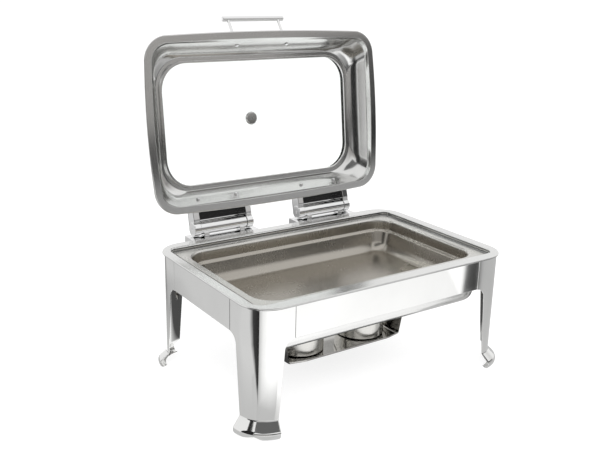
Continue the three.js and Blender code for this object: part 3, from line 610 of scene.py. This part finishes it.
def make_food_pan():
    opening, flange = FOOD_OPENING, FOOD_FLANGE
    floor = FLANGE_TOP - FOOD_DEPTH
    shoulder = FLANGE_TOP - SHOULDER_DROP

    def inset(out, z, radius=None):
        return (opening["half_x"] + out, opening["half_y"] + out, radius or opening["radius"] + out, z)

    def flange_ring(back, z):
        return (flange["half_x"] - back, flange["half_y"] - back, flange["radius"], z)

    corners = [
        (inset(-70, floor + 0.4, 10), 0), (inset(-28, floor, 24), 9), (inset(-17, floor + 11), 9),
        (inset(-8.5, shoulder - 2.5), 2), (inset(-3, shoulder + 1), 2), (inset(-1.2, FLANGE_TOP - 3), 2),
        (inset(1.6, FLANGE_TOP), 1.5), (flange_ring(0.8, FLANGE_TOP), 0.9),
        (flange_ring(0, FLANGE_TOP - 0.9), 0),
    ]
    top = soften([corner for corner, _ in corners], [reach for _, reach in corners], 6)
    back = behind_rings(top[:-1], THIN)
    loops = [ring(*r) for r in back + top[::-1]]
    show(skin(loops, False), to_row, "food_pan_steel", "food_pan")


def make_water_pan():
    fillet, bead_radius = WELL["fillet"], RIM["bead"]
    ledge = FLANGE_TOP - THIN - GAP

    def wall(back, z):
        return (WELL["half_x"] - back, WELL["half_y"] - back, max(WELL["radius"] - back, 4.0), z)

    def step(out, z, round_out):
        return (RECESS["half_x"] + out, RECESS["half_y"] + out, RECESS["radius"] + round_out, z)

    def edge(back, z):
        return (RIM["half_x"] - back, RIM["half_y"] - back, RIM["radius"] - back, z)

    bottom = [wall(back, WELL["floor"] + up) for back, up in arc(fillet, fillet, fillet, 270, 180, 10)]
    bottom.insert(0, wall(90, WELL["floor"] + 0.6))
    shelf = [
        (wall(0, ledge - 8), 0), (wall(-1, ledge - 5), 2), ((258, 165.5, 37, ledge), 2),
        (step(0, ledge, 0), 1.5), (step(0.8, RIM_TOP - 1.5, 0.8), 1.5), (step(4, RIM_TOP, 5), 2),
        (edge(6, RIM_TOP), 0),
    ]
    shelf = soften([r for r, _ in shelf], [reach for _, reach in shelf], 5)
    bead = [edge(back, z) for back, z in arc(1.9, RIM_TOP - bead_radius, bead_radius, 90, 270, 16)]
    top = bottom + shelf + bead
    back = behind_rings(bottom + shelf[:-1], THIN)
    under = STAND["top"] + GAP
    hem = [edge(16, RIM_TOP - THIN), edge(16, under)]
    loops = [ring(*r) for r in back + hem + top[::-1]]
    show(skin(loops, False), to_row, "rim_steel", "water_pan")


# Fuel tray and holders

def tray_half_width(x):
    """The tray's edge bows back near both ends."""
    bend = TRAY["half_x"] * 0.72
    share = min(max((abs(x) - bend) / (TRAY["half_x"] - bend), 0), 1)
    return TRAY["half_y"] - (TRAY["half_y"] - TRAY["end_y"]) * share**1.6


def make_fuel_tray():
    """One sheet: flange, sloping end wall, floor, and the same again, with a lip along both long edges."""
    half_x, bottom, sheet = TRAY["half_x"], TRAY["bottom"], TRAY["sheet"]
    wall_x, top = half_x + TRAY_END["spread"], TRAY_END["top"] - sheet
    end = [(wall_x + TRAY_END["flange"], top), (wall_x, top), (half_x, bottom)]
    half = soften(end + [(half_x - 30, bottom)], [0, 2.5, 3, 0], 6)
    steps = np.linspace(half_x - 30, 0, 14)[1:]
    path = half + [np.array((x, bottom)) for x in steps]
    path += [np.array((-x, z)) for x, z in path[-2::-1]]
    upper = offset(path, -sheet)
    lip = soften([(-1, 1), (-1, 0), (1, 0), (1, 1)], [0, 0.4, 0.4, 0], 4)
    grids = [[], []]
    for (x, z), (up_x, up_z) in zip(path, upper):
        width = tray_half_width(x)
        rise = TRAY["lip"] if abs(x) <= half_x else 0.0
        grids[0].append([(x, side * width, z + rise * up) for side, up in lip])
        grids[1].append([(up_x, side * (width - sheet), up_z + rise * up) for side, up in lip])
    show(plate(*grids, chamfer=0.2), to_row, "dark_mirror_steel", "fuel_tray")


def fuel_cup():
    """Outline of a fuel holder, turned about its middle."""
    radius, height = HOLDER["radius"], HOLDER["height"]
    return soften([
        (0, 1.2), (radius - 6, 1.2), (radius - 5, 0), (radius, 0), (radius, height), (radius - THIN, height),
        (radius - THIN, THIN + 1), (radius - 6, THIN + 1), (radius - 8, THIN + 2), (0, THIN + 2),
    ], [0, 1, 1, 2.2, 0.3, 0.3, 2, 1, 1, 0], 5)


def fuel_collar():
    """Outline of the collar over a fuel holder, with the hole for the flame."""
    height, hole = HOLDER["height"], HOLDER["hole"]
    inner = HOLDER["radius"] + 0.6
    low_edge = height - HOLDER["collar"]
    top = height + THIN + GAP
    lip_end = top - 2.6
    return soften([
        (inner, low_edge + 1), (inner, low_edge), (inner + THIN, low_edge), (inner + THIN, top),
        (hole + 1.5, top), (hole, top - 0.8), (hole, lip_end), (hole + THIN, lip_end),
        (hole + THIN, height + GAP), (inner, height + GAP),
    ], [0.3, 0.3, 0.3, 2.0, 1.0, 0.6, 0.3, 0.3, 1.0, 0.8], 5, closed=True)


def make_fuel():
    make_fuel_tray()
    cup, collar = fuel_cup(), fuel_collar()
    base = TRAY["bottom"] + TRAY["sheet"] + GAP
    disc_level = base + HOLDER["height"] + THIN + 2 * GAP + THIN / 2
    rivet = soften([(0, -3.2), (3.6, -3.2), (3.6, -1.9), (2, -1.9), (2, 1.1), (4, 1.1), (4, 2.2), (0, 3)],
                   [0, 0.5, 0.3, 0.3, 0.3, 0.4, 1.4, 0], 4)
    for side, sign_x in SIDES:
        x = sign_x * HOLDER["x"]
        show(shifted(turned(cup), x, 0, base), to_row, "holder_steel", f"fuel_holder_{side}")
        show(shifted(turned(collar), x, 0, base), to_row, "holder_steel", f"fuel_collar_{side}")
        place = Matrix.Translation((x, 0, disc_level)) @ Matrix.Diagonal((sign_x, 1, 1, 1))
        show(moved(shutter(), place), to_row, "holder_steel", f"fuel_shutter_{side}")
        show(shifted(turned(rivet, 32), x, -SHUTTER["pivot"], disc_level), to_row, "holder_steel",
             f"shutter_rivet_{side}")


def shutter():
    """A disc with an arm to its pivot and a finger tab, pressed from one sheet."""
    radius, pivot, arm_half = SHUTTER["radius"], SHUTTER["pivot"], SHUTTER["arm_half"]
    tab_half, curl_radius = SHUTTER["tab_half"], SHUTTER["curl"]
    half = THIN / 2
    disc = turned(soften([(0, -half), (radius, -half), (radius, half), (0, half)], [0, 0.3, 0.3, 0], 3))
    start = -radius + 3
    outline = [(arm_half, start), (-arm_half, start)] + arc(0, -pivot, arm_half, 180, 360, 14)
    middle = (0, (start - pivot) / 2)
    faces = [[(x, y, z) for x, y in outline] for z in (-half, half)]
    arm = skin(faces, False, (*middle, -half), (*middle, half))
    tab = block((radius - 2, radius + SHUTTER["tab"]), (-tab_half, tab_half), (-half, half), 0.25)
    curl = bar(arc(0, 0, curl_radius, 0, 330, 11), -tab_half, tab_half, 0.2)
    curl = moved(curl, rotation("Z", 90))
    curl = shifted(curl, radius + 8.2, 0, 0.9)
    return together(disc, arm, tab, curl)


# Hinges

def make_fixed_hinges():
    front, back, top, low_edge = STAND["half_y"] + GAP, BASE["back"], BASE["high"], BASE["low"]
    step = RIM["half_y"] + 0.7
    shoulder = STAND["top"] - 0.2
    section = soften([
        (front, low_edge), (back, low_edge), (back, top), (step, top), (step, shoulder), (front, shoulder),
    ], [0.8, 3, 2.2, 1.0, 0.2, 0.6], 5, closed=True)
    half = HINGE["half"] + BASE["overhang"]
    base = bar(section, -half, half, 1.0)
    barrel_half = HINGE["half"] - HINGE["knuckle"] - GAP
    radius, bore = HINGE["barrel"], HINGE["bore"]
    tube = turned(soften([
        (bore, -barrel_half), (radius, -barrel_half), (radius, barrel_half), (bore, barrel_half),
    ], 0.8, 4, closed=True))
    tube = moved(tube, rotation("Y", 90))
    foot = top + GAP - HINGE["z"]
    reach = barrel_half - LUG["in"]
    lugs = [block((x - LUG["half"], x + LUG["half"]), (LUG["front"], LUG["back"]), (foot, LUG["top"]), 0.7)
            for x in (-reach, reach)]
    for side, sign_x in SIDES:
        middle = sign_x * HINGE["middle"]
        show(shifted(base, middle), to_row, "chrome", f"hinge_base_{side}")
        barrel = shifted(together(tube, *lugs), middle, HINGE["y"], HINGE["z"])
        show(barrel, to_row, "chrome", f"hinge_barrel_{side}")


def wall_line(level):
    """Distance from the hinge axis to the lid's rear wall, outside, at a height above the axis."""
    inner = LID["y"] + LID["half_y"] - math.tan(LEAN) * (level + HINGE["z"] - LID_SEAT)
    return inner + THIN / math.cos(LEAN) - HINGE["y"]


def make_brackets():
    """A plate on the lid's wall, a roof over the barrel, and a cheek with a knuckle at each end."""
    thickness, low_edge, rise = BRACKET["plate"], BRACKET["low"], BRACKET["rise"]
    near, far = GAP / math.cos(LEAN), (GAP + thickness) / math.cos(LEAN)
    roof_low = HINGE["barrel"] + 2 * GAP
    roof_high = roof_low + thickness
    high_edge = roof_high + BRACKET["upstand"]
    half = HINGE["half"] - BRACKET["end_gap"]
    foot = wall_line(low_edge) + near - bulge(low_edge + HINGE["z"] - LID_SEAT)
    mount = [(foot, low_edge), (wall_line(low_edge) + far, low_edge),
             (wall_line(high_edge) + far, high_edge), (wall_line(high_edge) + near, high_edge)]

    def root(level):
        return (wall_line(level) + near + 0.5, level)

    roof = [root(roof_low + rise), (0, roof_low), (0, roof_high), root(roof_high + rise)]
    chin = -BRACKET["chin"]
    cheek = [root(low_edge), (-BRACKET["chin_depth"], chin), (0, chin), (BRACKET["nose"], 0), (0, roof_high),
             root(roof_high + rise)]
    plates = [
        bar(soften(mount, 0.8, 3, closed=True), -half, half, 0.5),
        bar(soften(roof, 0.6, 3, closed=True), -half, half, 0.4),
    ]
    length, radius = HINGE["knuckle"], HINGE["radius"]
    for sign_x in (-1, 1):
        knuckle = moved(knuckle_shape(length, radius), rotation("Y", 90))
        start = HINGE["half"] - length
        plates.append(mirror(shifted(knuckle, start), sign_x))
        web = bar(soften(cheek, 0.8, 3, closed=True), start, half, 0.6)
        plates.append(mirror(web, sign_x))
    bracket = together(*plates)
    for side, sign_x in SIDES:
        show(shifted(bracket, sign_x * HINGE["middle"]), to_hinge, "chrome", f"hinge_bracket_{side}")


def knuckle_shape(length, radius):
    """A turned knuckle with a small centre mark in its outer face."""
    profile = [(0, 0), (radius, 0), (radius, length), (2.4, length), (1.6, length - 1.4), (0, length - 1.8)]
    return turned(soften(profile, [0, 0.6, 1.4, 0.5, 0.5, 0], 5))


def make_lid_bolts():
    level = NUT["level"] + LID_SEAT - HINGE["z"]
    place_y = wall_line(level) - THIN / math.cos(LEAN) - bulge(NUT["level"])
    radius = NUT["radius"]
    shank, end_height = NUT["shank"], THIN + 4.5
    dome = arc(0, -GAP - 1.1, radius - 0.7, -90, 0, 8)
    profile = [(0, dome[0][1])] + dome[1:-1]
    profile += [(radius - 0.7, -GAP - 1.1), (radius, -GAP - 1.0), (radius, -GAP), (shank, -GAP),
                (shank, end_height), (0, end_height)]
    bolt = turned(profile, 48)
    for side, sign_x in SIDES:
        for end, spread in (("inner", -NUT["spread"]), ("outer", NUT["spread"])):
            x = sign_x * (HINGE["middle"] + spread)
            place = (x, place_y, level)
            bolt_here = aimed(bolt, (0, math.cos(LEAN), math.sin(LEAN)), place)
            show(bolt_here, to_hinge, "chrome", f"lid_bolt_{side}_{end}")


# Lid

def lid_wall(height, extra=0.0):
    """The lid's inner face at a height above its rim: (half length, half width, radius, z, y, bow)."""
    inward = math.tan(LEAN) * height + extra
    return (LID["half_x"] - inward, LID["half_y"] - inward, LID["radius"], height, LID["y"], 0.0)


def bulge(height):
    """How far the lid's wall stands inward of its plain slope, between its foot and its bend."""
    return LID_BULGE * (BEND - height) / (BEND - LID_RIM["riser"])


def window_ring(out, z):
    return (WINDOW["half_x"] + out, WINDOW["half_y"] + out, WINDOW["radius"] + out * 0.5, z, WINDOW["y"], 0.0)


def rim_ring(back, z):
    rim = LID_RIM
    return (rim["half_x"] - back, rim["half_y"] - back, rim["radius"] - back, z, rim["y"], rim["bow"])


def make_lid_shell():
    ledge = WINDOW["height"] - THIN
    inner = soften([
        window_ring(3.5, ledge), window_ring(12, ledge), lid_wall(44, 2.2), lid_wall(BEND),
        lid_wall(LID_RIM["riser"], LID_BULGE), rim_ring(LID_RIM["flange"], 0), rim_ring(6, 0),
    ], [0, 2, 6, 8, 3, 1.6, 0], 6)
    outline = [((r[0] + r[1]) / 2, r[3]) for r in inner]
    outer = []
    for own, (start, _), (half, z) in zip(inner, outline, offset(outline, -THIN)):
        shift = half - start
        outer.append((own[0] + shift, own[1] + shift, own[2] + shift, z, own[4], own[5]))
    bead_radius = LID_RIM["bead"]
    bead = [rim_ring(0.2 + back, up) for back, up in arc(bead_radius, bead_radius, bead_radius, 270, 90, 14)]
    rim = bead + [rim_ring(3.6, 4.4)]
    loops = [ring(*r) for r in inner + rim + outer[::-1]]
    show(skin(loops, True), to_lid, "lid_steel", "lid_shell")


def window_frame(section):
    return skin([ring(*window_ring(out, z)) for out, z in section], True)


def make_window():
    inner_trim = soften([(0, 45.2), (1.4, 44.2), (4.6, 44.2), (6, 45.2), (6, 48.4), (0.6, 48.4)],
                        [0.5, 0.6, 0.6, 0.6, 0.3, 0.3], 4, closed=True)
    show(window_frame(inner_trim), to_lid, "lid_steel", "window_trim_inner")
    seat = WINDOW["height"] + GAP
    strip = soften([(1, seat), (9.5, seat), (9.5, seat + GASKET), (1, seat + GASKET)], 0.5, 3, closed=True)
    show(window_frame(strip), to_lid, "gasket", "window_gasket")
    clamp = seat + GASKET + GAP + GLASS["thickness"] + 3.2
    outer_trim = soften([(2.5, clamp + 2.2), (2.5, clamp + 1.2), (10.2, clamp - 2), (10.2, seat + GAP),
                         (16, seat + GAP), (16, seat + 1.5), (11.8, clamp - 1.2)],
                        [0.4, 0.4, 1.5, 0.8, 0.4, 0.4, 2.0], 5, closed=True)
    show(window_frame(outer_trim), to_lid, "lid_steel", "window_trim_outer")
    make_glass()


def make_glass():
    base = WINDOW["height"] + GASKET + 2 * GAP
    seat = GLASS["seat"]

    def dome(scale, lift):
        share = max(scale - seat, 0) / (1 - seat)
        height = base + lift + GLASS["rise"] * (1 - share**2)
        half_x, half_y = WINDOW["half_x"] + GLASS["overlap"], WINDOW["half_y"] + GLASS["overlap"]
        return (half_x * scale, half_y * scale, (WINDOW["radius"] + 4) * scale, height, WINDOW["y"], 0.0)

    scales = np.linspace(0.04, 1, 25)
    under = [dome(scale, 0) for scale in scales]
    edge = [dome(1.0 + 0.0015 * math.sin(t), GLASS["thickness"] * (1 - math.cos(t)) / 2)
            for t in np.linspace(0, math.pi, 6)[1:-1]]
    upper = [dome(scale, GLASS["thickness"]) for scale in scales[::-1]]
    show(skin([ring(*r) for r in under + edge + upper], False), to_lid, "window_glass", "lid_glass")


def make_vent():
    inside = WINDOW["height"] + GASKET + 2 * GAP + GLASS["rise"]
    hole, radius, stem, cap_radius = VENT["hole"], VENT["radius"], VENT["stem"], VENT["cap"]
    low_face = -VENT["height"] - GAP
    outside = GLASS["thickness"] + GAP
    button = soften([
        (hole, low_face + 0.6), (hole, low_face), (VENT["face"], low_face), (radius, -3.0), (radius, -GAP),
        (stem, -GAP), (stem, outside), (hole, outside),
    ], [0.2, 0.5, 1.2, 0.8, 0.4, 0.4, 0.3, 0.3], 5, closed=True)
    show(shifted(turned(button), 0, WINDOW["y"], inside), to_lid, "lid_steel", "vent_button")
    foot = 2 * GAP
    cap = soften([(0, foot), (cap_radius, foot), (cap_radius, foot + 3), (0, foot + 5)], [0, 0.5, 2.5, 0], 6)
    show(shifted(turned(cap), 0, WINDOW["y"], inside + GLASS["thickness"]), to_lid, "chrome", "vent_cap")


def make_handle():
    level, half, radius = HANDLE["level"], HANDLE["half"], HANDLE["radius"]
    inward = math.tan(LEAN) * level + bulge(level)
    root = Vector((0, LID["y"] - LID["half_y"] + inward, level))
    away = Vector((0, -math.cos(LEAN), math.sin(LEAN)))
    reach = HANDLE["reach"] + bulge(level) * math.cos(LEAN)
    grip = soften([(0, -half), (radius, -half), (radius, half), (0, half)], [0, 1.6, 1.6, 0], 6)
    show(aimed(turned(grip), (1, 0, 0), root + away * reach), to_lid, "chrome", "handle_bar")
    start = THIN + GAP
    post_radius = HANDLE["post"]
    end_height = reach - radius + 1.2
    post = soften([(0, start), (post_radius + 1.6, start), (post_radius + 1.6, start + 1.6),
                   (post_radius, start + 2.4), (post_radius, end_height), (0, end_height)],
                  [0, 0.4, 0.6, 0.6, 0.2, 0], 4)
    head = [(0, -2.4 - GAP), (4.2, -2.0 - GAP), (4.2, -GAP), (1.6, -GAP), (1.6, 11), (0, 11)]
    head = soften(head, [0, 1.4, 0.2, 0.1, 0.2, 0], 4)
    for side, sign_x in SIDES:
        place = root + Vector((sign_x * HANDLE["post_x"], 0, 0))
        show(aimed(turned(post, 48), away, place), to_lid, "chrome", f"handle_post_{side}")
        show(aimed(turned(head, 40), away, place), to_lid, "chrome", f"handle_screw_{side}")


def dress_cad_nodes():
    """The small pieces that stay as CAD made them get a finish and broken edges."""
    kept = ["hinge_pin_left", "hinge_pin_right"]
    kept += [name for name in frame["nodes"] if name.startswith(("seam_strap", "hinge_base_bolt"))]
    for name in kept:
        node = frame["nodes"][name]
        node.data.materials.clear()
        node.data.materials.append(finishes["plain_steel"])
        edge = node.modifiers.new("broken_edges", "BEVEL")
        edge.width = 0.0003
        edge.segments = 2
        edge.limit_method = "ANGLE"


# Studio

def stage_material(name, color, glow):
    """A matt material for the floor, or a plain glow for a card."""
    material, _, _, shader = new_material(name)
    shader.inputs["Base Color"].default_value = (*color, 1)
    shader.inputs["Roughness"].default_value = 0.7
    shader.inputs["Specular IOR Level"].default_value = 0.0
    shader.inputs["Emission Color"].default_value = (1, 1, 1, 1)
    shader.inputs["Emission Strength"].default_value = glow
    return material


def staged(name, corners, material):
    """One flat face that isn't part of the object."""
    stood = placed(name, mesh_of(name, corners, [tuple(range(len(corners)))], material))
    return stood


def reflected(name, corners, glow):
    """A card that only reflections see."""
    return only_reflected(staged(name, corners, stage_material(name, (0, 0, 0), glow)))


def only_reflected(stood):
    stood.visible_camera = False
    stood.visible_diffuse = False
    stood.visible_shadow = False
    stood.visible_transmission = False
    return stood


def upright(name, azimuth, distance, width, bottom, top, glow):
    """An upright card that faces the object. Azimuth 0 is behind it (+Y) and 90 is at its right (+X)."""
    angle = math.radians(azimuth)
    middle = Vector((math.sin(angle), math.cos(angle), 0)) * distance
    side = Vector((math.cos(angle), -math.sin(angle), 0)) * width / 2
    corners = [middle - side, middle + side]
    corners = [(*corners[i].xy, z) for i, z in ((0, bottom), (1, bottom), (1, top), (0, top))]
    reflected(name, corners, glow)


def shaded_floor(name, rows, shades, level=0.0004):
    """A card just above the floor, whose glow changes smoothly between the points of a grid."""
    count = len(rows[0])
    points = [(x, y, level) for row in rows for x, y in row]
    faces = []
    for r in range(len(rows) - 1):
        for c in range(count - 1):
            first = r * count + c
            faces.append((first, first + 1, first + count + 1, first + count))
    material = stage_material(name, (0, 0, 0), 1.0)
    nodes, links = material.node_tree.nodes, material.node_tree.links
    attribute = nodes.new("ShaderNodeVertexColor")
    attribute.layer_name = "shade"
    links.new(attribute.outputs["Color"], nodes["Principled BSDF"].inputs["Emission Color"])
    mesh = mesh_of(name, points, faces, material)
    layer = mesh.color_attributes.new("shade", "FLOAT_COLOR", "POINT")
    for corner, shade in zip(layer.data, [shade for row in shades for shade in row]):
        corner.color = (shade, shade, shade, 1)
    stood = placed(name, mesh)
    return only_reflected(stood)


def fan(name, middle, rows, level):
    """A shaded card like a fan about a point on the floor. A row is (distance, azimuths, shades)."""
    points = []
    for distance, azimuths, _ in rows:
        turns = np.radians(azimuths)
        points.append([(middle[0] + distance * math.sin(t), middle[1] + distance * math.cos(t))
                       for t in turns])
    shaded_floor(name, points, [shades for _, _, shades in rows], level)


def make_world():
    """A bright studio with a dark room in front of it, low down, behind the camera."""
    world = bpy.data.worlds.new("studio")
    bpy.context.scene.world = world
    world.use_nodes = True
    nodes, links = world.node_tree.nodes, world.node_tree.links
    direction = nodes.new("ShaderNodeTexCoord").outputs["Generated"]
    parts = nodes.new("ShaderNodeSeparateXYZ")
    links.new(direction, parts.inputs["Vector"])

    in_front = ranged(nodes, links, parts.outputs["Y"], lowest=0.15, highest=-0.3, smooth=True)
    low_down = ranged(nodes, links, parts.outputs["Z"], lowest=0.5, highest=0.2, smooth=True)
    dark = combined(nodes, links, "MULTIPLY", in_front, low_down)
    room = mixed(nodes, links, (0.95, 0.95, 0.95, 1), (0.4, 0.39, 0.38, 1), dark)
    seen_directly = nodes.new("ShaderNodeLightPath").outputs["Is Camera Ray"]
    backdrop = mixed(nodes, links, room, (1.05, 1.05, 1.05, 1), seen_directly)
    links.new(backdrop, nodes["Background"].inputs["Color"])


# The tones that the polished sides reflect. They lie just above the floor, in metres and degrees.

SEAM_ON_FLOOR = Vector((0.214, -0.25))  # where the front rail seems to stand on the floor at its right seam
SEAM_AWAY = Vector((0.735, -0.679))  # the way that the seam's reflection runs from there
LEFT_FOOT = (-0.283, -0.2275)  # where the left front leg stands


def beside_seam(reach, across=0.0):
    """A point on the floor, a way along the right seam's reflection and a way to its right."""
    return tuple(SEAM_ON_FLOOR + SEAM_AWAY * reach + Vector((across, 0)))


def make_left_tones():
    """Grey beyond the left end, seen in the left rail, with a painted shadow that darkens it behind the
    dish's left end.
    """
    columns = [-0.45, 0.12, 0.3, 0.5, 4]
    tones = {
        -0.3: [0.6, 0.6, 0.5, 0.4, 0.6],
        -0.42: [0.66, 0.66, 0.5, 0.3, 0.6],
        -0.48: [0.7, 0.7, 0.66, 0.5, 0.6],
        -0.54: [0.74, 0.74, 0.68, 0.66, 0.66],
        -4: [0.78, 0.78, 0.7, 0.7, 0.7],
    }
    shaded_floor("grey_left", [[(x, y) for y in columns] for x in tones], list(tones.values()))


def make_front_tones():
    """White in front, seen in the front rail."""
    tones = {
        -0.25: [0.62, 0.64, 1.1, 1.1],
        -0.33: [0.62, 0.7, 1.1, 1.1],
        -0.39: [1.2, 1.3, 1.3, 1.1],
        -1.3: [1.32, 1.25, 1.2, 0.95],
    }
    rows = [[(x, y) for x in (-0.5, -0.25, -0.17, 0.1 - 0.7 * y)] for y in tones]
    shaded_floor("white_front", rows, list(tones.values()))


def make_right_tones():
    """Grey beyond the right end, and a dark strip before it at the front rail's right end."""
    starts = [beside_seam(reach) for reach in (0, 0.3, 0.6, 1.2, 4)]
    ends = [(x + 0.1, 4) for x, _ in starts]
    shaded_floor("grey_right", [starts, ends], [[0.6, 0.58, 0.54, 0.56, 0.6]] * 2, level=0.0006)
    spread = [-0.05, -0.044, -0.016, -0.002, 0.004, 0.02]
    tones = {
        0.28: [0.7, 0.5, 0.4, 0.2, 0.3, 0.54],
        0.42: [0.9, 0.3, 0.12, 0.07, 0.3, 0.54],
        0.5: [0.9, 0.1, 0.06, 0.03, 0.16, 0.54],
        0.95: [0.9, 0.08, 0.04, 0.03, 0.12, 0.5],
    }
    rows = [[beside_seam(reach, across) for across in spread] for reach in tones]
    shaded_floor("dark_right", rows, list(tones.values()), level=0.0008)


def make_corner_tones():
    """A dark streak, white and grey round the left front leg, which its round corner gathers up.

    A row is a distance from the leg: the azimuth where the dark streak begins, and the shades.
    """
    near, far = [0.6] * 7, [0.7, 0.05, 0.02, 0.68, 1.05, 1.3, 1.3]
    tones = {
        0.03: (-122, near),
        0.1: (-122, [0.62, 0.6, 0.58, 0.6, 0.62, 0.62, 0.6]),
        0.13: (-122, [0.66, 0.4, 0.3, 0.6, 0.8, 0.8, 0.66]),
        0.185: (-114, [0.7, 0.06, 0.02, 0.62, 0.95, 1.1, 0.9]),
        0.24: (-107, [0.7, 0.06, 0.02, 0.66, 1.05, 1.3, 1.2]),
        0.3: (-99, far),
        0.36: (-91, far),
        0.47: (-85, far),
        1.6: (-80, far),
    }
    streak_end = -126
    rows = []
    for distance, (streak_start, shades) in tones.items():
        inside = 0.6 * streak_start + 0.4 * streak_end
        azimuths = [streak_start, inside, streak_end, streak_end - 0.5, -142, -165, -205]
        rows.append((distance, azimuths, shades))
    fan("dark_left", LEFT_FOOT, rows, level=0.0008)


def make_tones_below():
    """A dark card that stands in for the shadow under the dish: a painted shadow, seen in the fuel tray and
    inside the legs.
    """
    edge, middle = [0.8, 0.7, 0.7, 0.8], [0.7, 0.08, 0.08, 0.7]
    rows = [[(x, y) for y in (-0.22, -0.17, 0.07, 0.12)] for x in (-0.25, -0.2, 0.17, 0.25)]
    shaded_floor("painted_shadow_below", rows, [edge, middle, middle, edge], level=0.0002)


def make_cards():
    """Upright cards, and one above, that the lid and the hinges reflect."""
    dark, dim = 0.02, 0.08
    upright("dark_side", -106, 1.4, 0.7, 0.0, 1.6, dark)
    upright("dark_front", 150, 1.2, 2.6, 0.31, 0.5, dark)
    upright("dark_front_left", -146, 1.2, 1.4, 0.31, 0.5, dark)
    upright("grey_front", 150, 1.3, 2.8, 0.0, 0.32, 0.42)
    upright("dark_front_right", 127, 1.46, 0.6, 0.5, 0.8, dim)
    overhead = ((-1.7, -2.1), (0.5, -2.1), (0.5, -0.6), (-1.7, -0.6))
    reflected("dark_above", [(x, y, 1.9) for x, y in overhead], 0.14)


def make_lights():
    """Two soft lights, each with its place in metres, its size and its power in watts."""
    lights = {"key": ((-1.0, -1.4, 2.4), 1.8, 45), "fill": ((1.6, -0.8, 1.8), 1.2, 12)}
    for name, (place, size, power) in lights.items():
        light = bpy.data.lights.new(name, "AREA")
        light.size = size
        light.energy = power
        lamp = placed(name, light)
        lamp.visible_glossy = False
        lamp.location = place
        lamp.rotation_euler = (-Vector(place)).to_track_quat("-Z", "Y").to_euler()


def make_studio():
    make_world()
    far = 40
    staged("floor", [(-far, -far, 0), (far, -far, 0), (far, far, 0), (-far, far, 0)],
           stage_material("floor", (0.34, 0.34, 0.34), 0.8))
    make_left_tones()
    make_front_tones()
    make_right_tones()
    make_corner_tones()
    make_tones_below()
    make_cards()
    make_lights()
    bpy.context.scene.view_settings.view_transform = "Standard"


def make_camera():
    azimuth, elevation, roll = [math.radians(CAMERA_TURN[name]) for name in ("azimuth", "elevation", "roll")]
    look = Vector((math.sin(azimuth) * math.cos(elevation), math.cos(azimuth) * math.cos(elevation),
                   -math.sin(elevation)))
    side = look.cross(Vector((0, 0, 1))).normalized()
    up = side.cross(look)
    right = side * math.cos(roll) + up * math.sin(roll)
    over = up * math.cos(roll) - side * math.sin(roll)
    data = bpy.data.cameras.new("camera")
    data.lens = LENS["length"]
    data.sensor_width = LENS["sensor"]
    camera = placed("camera", data)
    rows = [(*axes, place) for *axes, place in zip(right, over, -look, CAMERA_PLACE)]
    camera.matrix_world = Matrix(rows + [(0, 0, 0, 1)])
    bpy.context.scene.camera = camera


make_camera()
make_studio()
make_legs()
make_rails()
make_water_pan()
make_food_pan()
make_fuel()
make_fixed_hinges()
make_brackets()
make_lid_bolts()
make_lid_shell()
make_window()
make_vent()
make_handle()
dress_cad_nodes()
